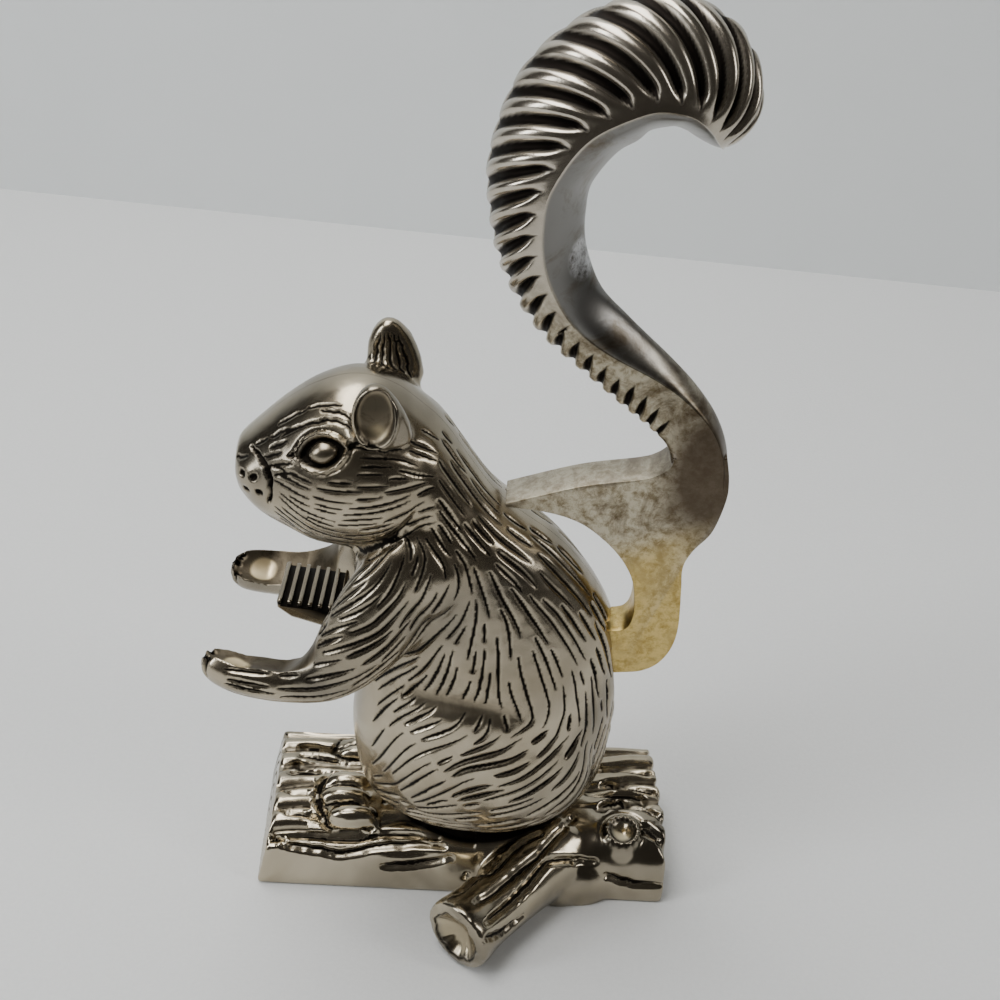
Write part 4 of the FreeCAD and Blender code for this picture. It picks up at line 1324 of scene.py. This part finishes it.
    def plate_form(self, half: float) -> bpy.types.Object:
        """Return the flat lever: beam, foot, spur and the root of the tail."""
        spur = curve([(10.1, 111.4), (25.7, 116.7), (38.4, 119.2), (42.2, 120.6), (44.6, 122.8),
                      (44.8, 124.6)], 40)
        rear = curve([(56.0, 125.5), (57.0, 120.0), (57.0, 114.6), (55.0, 106.4), (51.4, 101.0),
                      (49.7, 96.3), (50.0, 89.8), (50.4, 79.4), (49.4, 73.0), (46.8, 68.2),
                      (43.0, 65.6), (38.0, 64.8)], 90)
        beam = np.array([(20.0, 62.4), (-2.0, 64.6), (-14.0, 66.6), (-20.0, 70.0), (-26.0, 75.2),
                         (-36.0, 78.6), (-36.0, 81.0), (-26.0, 81.0), (-14.0, 80.4), (0.0, 79.6),
                         (20.0, 78.6)])
        throat = curve([(35.5, 77.2), (38.2, 78.0), (39.6, 80.5), (39.9, 85.1), (39.0, 91.7),
                        (36.3, 97.5), (32.0, 102.7), (26.3, 107.2), (19.2, 109.6), (10.2, 110.6)], 70)
        plate = prism("plate", np.vstack([spur, rear, beam, throat]), -half, half)
        finish_modifier(plate, "BEVEL", width=0.55 * MM, segments=3, limit_method="ANGLE",
                        angle_limit=math.radians(50))
        return plate

    def build(self) -> bpy.types.Object:
        """Return the lever with its tail."""
        joint = frame["joints"][0]["pos_m"]
        tail, dark, band = self.tail_form()
        write_values(tail, "groove", dark)
        write_values(tail, "band", band)
        plate = self.plate_form(LEVER_HALF)
        pivot_x, pivot_z = joint[0] / MM, joint[2] / MM
        boss = rod("boss", (pivot_x, -LEVER_HALF, pivot_z), (pivot_x, LEVER_HALF, pivot_z), BOSS_RADIUS, 96)
        for part in (plate, boss):
            write_values(part, "groove", np.zeros(len(part.data.vertices)))
            write_values(part, "band", np.zeros(len(part.data.vertices)))
        finish_modifier(plate, "BOOLEAN", operation="UNION", object=boss, solver="MANIFOLD")
        bpy.data.objects.remove(boss)
        finish_modifier(tail, "BOOLEAN", operation="UNION", object=plate, solver="MANIFOLD")
        bpy.data.objects.remove(plate)
        bore = rod("bore", (pivot_x, -9, pivot_z), (pivot_x, 9, pivot_z), BORE_RADIUS, 64)
        cut_away(tail, [bore])
        tail.name = "lever_and_tail"
        self.dress(tail)
        return tail

    def dress(self, lever: bpy.types.Object) -> None:
        """Store where the lever is cream and where it is yellow."""
        p = read_points(lever) / MM
        flat = smooth_step(-p[:, 2], -172.0, -150.0) * (p[:, 0] > 9.0)
        edge = (p[:, 2] > 104.0) & (p[:, 2] < 126.0) & (p[:, 0] < 47.0)
        flat = flat * np.where(edge, smooth_step(np.abs(p[:, 1]), 4.2, 4.45), 1.0)
        foot = flat * smooth_step(-p[:, 2], -104.0, -92.0)
        write_values(lever, "cream", flat)
        write_values(lever, "yellow", foot)


@dataclass(frozen=True)
class LeverSilver:
    """Worn plate on the lever: cream speckle, yellow foot, brown-grey rear faces, bright tail ribs."""

    name: str

    def material(self) -> bpy.types.Material:
        """Build the material; it reads groove, band, cream and yellow."""
        graph = Graph(self.name)
        patches = graph.blotches(50.0, 4.0, 0.6, 0.4, 0.35, 0.72)
        metal = graph.mix(patches, (0.56, 0.51, 0.43), (0.34, 0.30, 0.24))
        speck = graph.blotches(420.0, 8.0, 0.75, 0.3, 0.44, 0.62)
        blots = graph.blotches(75.0, 6.0, 0.7, 1.2, 0.48, 0.66)
        cream = graph.mix(speck, (0.50, 0.45, 0.34), (0.21, 0.17, 0.105))
        cream = graph.mix(blots, cream, (0.115, 0.085, 0.05))
        yellow = graph.mix(speck, (0.66, 0.50, 0.19), (0.40, 0.28, 0.08))
        yellow = graph.mix(blots, yellow, (0.47, 0.35, 0.14))
        metal = graph.mix(graph.attribute("cream"), metal, cream)
        metal = graph.mix(graph.attribute("yellow"), metal, yellow)
        rear = graph.mix(blots, (0.20, 0.195, 0.185), (0.12, 0.10, 0.075))
        metal = graph.mix(graph.attribute("band"), metal, rear)
        burn = graph.ramp(graph.spot((53.0, 0.0, 121.0), (14.0, 60.0, 24.0)),
                          [(0.08, (0.0,)), (0.55, (0.92,))])
        metal = graph.mix(burn, metal, (0.075, 0.055, 0.038))
        solder = graph.ramp(graph.spot((23.0, -3.0, 169.0), (5.0, 6.0, 5.5)),
                            [(0.15, (0.0,)), (0.4, (0.8,))])
        metal = graph.mix(solder, metal, graph.mix(speck, (0.62, 0.62, 0.63), (0.10, 0.09, 0.08)))
        groove = graph.attribute("groove")
        colour = graph.mix(groove, metal, (0.016, 0.013, 0.011))
        gloss = graph.mix(graph.noise(70.0, 5.0, 0.6), (0.16,) * 3, (0.32,) * 3)
        gloss = graph.mix(graph.attribute("cream"), gloss, (0.36,) * 3)
        gloss = graph.mix(graph.attribute("band"), gloss, (0.30,) * 3)
        gloss = graph.mix(groove, gloss, (0.6,) * 3)
        return graph.surface(colour, gloss, graph.relief(graph.noise(260.0, 5.0, 0.6), 0.25, 0.00025))


@dataclass
class RibbedPad:
    """A block with sharp cross ribs on one sloping face. Sizes in mm."""

    outline: list[tuple[float, float]]
    half_width: float
    face: tuple[tuple[float, float], tuple[float, float]]
    pitch: float = 2.3
    groove: float = 1.45
    depth: float = 1.3
    count: int = 6

    def build(self, name: str, below: bool) -> bpy.types.Object:
        """Cut the ribs into the pad.

        Args:
            name: the object's name.
            below: True when the ribs are on the lower face.

        Returns:
            The pad, with its grooves marked dark.
        """
        pad = prism(name, np.array(self.outline), -self.half_width, self.half_width)
        finish_modifier(pad, "BEVEL", width=0.7 * MM, segments=4, limit_method="ANGLE",
                        angle_limit=math.radians(50))
        (x0, z0), (x1, z1) = self.face
        run = np.array([x1 - x0, 0.0, z1 - z0])
        long = float(np.linalg.norm(run))
        tilt = math.atan2(run[2], run[0])
        for step in range(self.count):
            at = np.array([x0, 0.0, z0]) + run * ((long - 0.9 - self.pitch * (step + 0.2)) / long)
            cutter = box("rib_gap", (-self.groove / 2, -self.half_width - 1, -self.depth),
                         (self.groove / 2, self.half_width + 1, self.depth))
            cutter.data.transform(Matrix.Translation(Vector(at * MM)) @ Matrix.Rotation(-tilt, 4, "Y"))
            cut_away(pad, [cutter])
        finish_modifier(pad, "BEVEL", width=0.16 * MM, segments=2, limit_method="ANGLE",
                        angle_limit=math.radians(35))
        p = read_points(pad) / MM
        away = (p - np.array([x0, 0.0, z0])) @ np.array([-run[2], 0.0, run[0]]) / long
        sunk = away if below else -away
        write_values(pad, "groove", smooth_step(sunk, 0.35, 0.8) * (sunk < self.depth + 0.1))
        return pad


# ---------------------------------------------------------------- studio


@dataclass
class Studio:
    """Pale cloth table, pale wall, soft lights and the camera."""

    eye: Point = (0.0138, -0.2503, 0.2845)
    tilt: float = 35.0
    turn: float = -1.15
    roll: float = 2.0
    lens: float = 50.4

    def camera(self) -> None:
        """Place the camera at the chosen viewing angle."""
        tilt, turn, roll = (math.radians(v) for v in (self.tilt, self.turn, self.roll))
        ahead = Vector((math.sin(turn) * math.cos(tilt), math.cos(turn) * math.cos(tilt), -math.sin(tilt)))
        right = ahead.cross(Vector((0, 0, 1))).normalized()
        up = right.cross(ahead)
        x = math.cos(roll) * right + math.sin(roll) * up
        y = -math.sin(roll) * right + math.cos(roll) * up
        data = bpy.data.cameras.new("camera")
        data.lens, data.sensor_width = self.lens, 36.0
        data.clip_start, data.clip_end = 0.01, 20.0
        camera = bpy.data.objects.new("camera", data)
        bpy.context.scene.collection.objects.link(camera)
        basis = Matrix((x, y, -ahead)).transposed().to_4x4()
        camera.matrix_world = Matrix.Translation(self.eye) @ basis
        bpy.context.scene.camera = camera

    def sheet(self, name: str, corners: list[Point], finish: Plain) -> None:
        """Add one flat staged surface with its corners in metres."""
        bpy.ops.object.select_all(action="DESELECT")
        bpy.ops.mesh.primitive_plane_add(size=1.0)
        obj = bpy.context.object
        obj.name = name
        order = [corners[0], corners[1], corners[3], corners[2]]
        write_points(obj, np.array(order, float))
        obj.data.materials.append(finish.material())

    def light(self, name: str, place: Point, target: Point, size: tuple[float, float], power: float,
              colour: Point) -> None:
        """Add one soft rectangular light aimed at a point.

        Args:
            name: the light's name.
            place: where it hangs, in metres.
            target: the point it is aimed at, in metres.
            size: its width and height, in metres.
            power: its power in watts.
            colour: its colour.
        """
        data = bpy.data.lights.new(name, "AREA")
        data.shape, data.size, data.size_y = "RECTANGLE", size[0], size[1]
        data.energy, data.color = power, colour
        lamp = bpy.data.objects.new(name, data)
        bpy.context.scene.collection.objects.link(lamp)
        lamp.location = place
        lamp.rotation_euler = (Vector(target) - Vector(place)).to_track_quat("-Z", "Y").to_euler()

    def build(self) -> None:
        """Set the whole stage."""
        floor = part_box("log_base")[0].z
        cloth = Plain("cloth", (0.80, 0.81, 0.81), (0.72, 0.735, 0.74), 0.9, 0.0, 900.0, 0.0006)
        wall = Plain("wall", (0.80, 0.83, 0.84), (0.76, 0.79, 0.80), 0.8, 0.0, 20.0, 0.0001)
        self.sheet("table",
                   [(-0.9, -0.34, floor), (0.8, -0.34, floor), (0.8, 0.7, floor), (-0.9, 0.7, floor)],
                   cloth)
        self.sheet("wall", [(-1.2, 0.535, -0.3), (1.0, 0.225, -0.3), (1.0, 0.255, 0.9), (-1.2, 0.565, 0.9)],
                   wall)
        world = bpy.data.worlds.new("room")
        world.use_nodes = True
        world.node_tree.nodes["Background"].inputs["Color"].default_value = (0.46, 0.43, 0.39, 1.0)
        world.node_tree.nodes["Background"].inputs["Strength"].default_value = 0.12
        bpy.context.scene.world = world
        self.light("ceiling", (-0.25, 0.05, 0.95), (0.0, 0.0, 0.08), (0.95, 0.45), 9.6, (1.0, 0.985, 0.96))
        self.light("left", (-0.85, -0.35, 0.45), (0.0, 0.0, 0.09), (0.2, 0.6), 3.6, (0.97, 0.99, 1.0))
        self.light("right", (0.75, -0.25, 0.55), (0.0, 0.0, 0.10), (0.16, 0.4), 1.6, (1.0, 0.98, 0.95))
        self.camera()


# ---------------------------------------------------------------- assembly


def present(obj: bpy.types.Object, body: Body, material: bpy.types.Material,
            nodes: tuple[str, ...]) -> None:
    """Dress one finished piece and tie it to the frame.

    Args:
        obj: the finished piece.
        body: the rigid body it rides on.
        material: its finish.
        nodes: the CAD nodes it stands for.
    """
    obj.data.materials.clear()
    obj.data.materials.append(material)
    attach(obj, body.value)
    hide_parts(*nodes)
    LOG.info("%s: %d faces", obj.name, len(obj.data.polygons))


# Torso, level sections: height, front x, back x, half width.
TORSO = [(18.5, -15, 27, 13), (23.5, -21.3, 32.2, 18.2), (30, -24, 35.5, 21.3), (40, -25.2, 37.5, 23.3),
         (50, -25, 38.4, 23.6), (60, -22.8, 38.6, 22.3), (70, -20.4, 37.4, 20.3), (80, -18.6, 35.2, 18.6),
         (90, -16.6, 30, 17), (100, -15.2, 22, 15.6), (110, -15, 9.5, 14.2), (120, -15, 2.2, 13),
         (128, -14.6, -3, 10.5), (133.5, -13.5, -8, 5.5)]
# Head, cross sections: x, middle height, half height, half width.
HEAD = [(-49.3, 117.3, 2.4, 2.8), (-48, 117, 5.4, 5.8), (-43.5, 116.4, 10.2, 9.8), (-37, 117.4, 15, 13.4),
        (-30, 118.2, 18.9, 16.4), (-22, 119, 20.6, 17.8), (-14, 118.4, 19.4, 17.2), (-7, 116.5, 15.6, 14),
        (-2.5, 114.5, 11.5, 10)]
# Arm, round sections along its path: x, y, z, half width, half height.
ARM = [(-6, -10, 99, 7, 12), (-13.5, -14.5, 91.5, 7, 11.9), (-20.5, -17.4, 82, 7.2, 9.9),
       (-28, -18.6, 74, 6.6, 7.4), (-38, -18.6, 71.3, 5.6, 5.8), (-47, -18, 72, 5.3, 5.5),
       (-53, -16.8, 73.4, 4.4, 5), (-56.3, -16.2, 74.4, 2.2, 2.6)]
# Tail, sections along its spine: x, z, heading in degrees, half depth, half width, squareness, rim share.
TAIL = [
    (51.0, 117.0, 90, 6.0, 4.5, 6, -0.85), (50.4, 124.0, 98, 6.0, 4.75, 6, -0.8),
    (48.2, 130.0, 113, 5.9, 4.65, 6, -0.75), (43.6, 135.6, 128, 6.5, 4.55, 5, -0.6),
    (38.0, 141.0, 138, 7.0, 4.6, 4.5, -0.4), (28.5, 149.8, 135, 7.2, 5.6, 3.6, 0.0),
    (21.2, 157.2, 128, 7.5, 7.4, 3, 0.0), (15.8, 167.4, 105, 8.4, 9.2, 2.5, -0.05),
    (14.0, 177.0, 92, 9.2, 10.4, 2.2, -0.1), (14.6, 186.4, 78, 10.2, 11.4, 2.1, -0.18),
    (20.6, 198.2, 50, 11.8, 12.2, 2, -0.28), (32.0, 205.6, 5, 12.2, 12.6, 2, -0.38),
    (41.4, 204.4, -30, 10.8, 12.2, 2, -0.38), (46.6, 198.6, -60, 7.9, 10.2, 2, -0.35),
    (48.0, 191.6, -80, 4.4, 6.0, 2, -0.3),
]
# Jaw outline in the side view: x, z.
JAW = [(-40.6, 84.1), (-26.0, 82.4), (-26.0, 75.4), (-37.6, 79.2), (-40.6, 81.8)]


def main() -> None:
    """Build every piece in order, dress it and report it."""
    logging.basicConfig(level=logging.INFO, format="%(name)s: %(message)s")
    silver = Silver("antiqued_silver").material()
    base_silver = Silver("log_silver", bright=(0.54, 0.48, 0.37), warm=(0.36, 0.31, 0.22),
                         polish=0.12, dull=0.26, waviness=0.5).material()
    steel = Plain("bright_steel", (0.55, 0.55, 0.56), (0.48, 0.48, 0.49), 0.28).material()
    brass = Plain("plain_brass", (0.72, 0.55, 0.28), (0.62, 0.46, 0.22), 0.3).material()

    maker = FigureHalf(TORSO, HEAD, ARM, 0.435)
    skin = maker.build()
    maker.hollow(skin)
    smooth_shading(skin.obj, 55.0)
    right = mirrored(skin.obj, "body_right")
    present(skin.obj, Body.FIGURE, silver, ("body_left_half",))
    present(right, Body.FIGURE, silver, ("body_right_half",))

    log = LogBase(voxel=0.42).build()
    smooth_shading(log, 55.0)
    present(log, Body.FIGURE, base_silver, ("log_base",))

    lever = TailLever(TAIL).build()
    smooth_shading(lever, 40.0)
    present(lever, Body.LEVER, LeverSilver("lever_silver").material(), ("tail_lever",))

    jaw = RibbedPad(JAW, 7.4, (JAW[0], JAW[1])).build("ribbed_jaw", False)
    smooth_shading(jaw, 30.0)
    present(jaw, Body.LEVER, silver, ("lower_jaw",))

    for node, material in (("upper_anvil", silver), ("pivot_pin", steel), ("pivot_washers", brass),
                           ("locating_dowels", steel), ("base_screws", steel), ("jaw_rivets", steel)):
        frame["nodes"][node].data.materials.clear()
        frame["nodes"][node].data.materials.append(material)
    Studio().build()


if __name__ == "__main__":
    main()
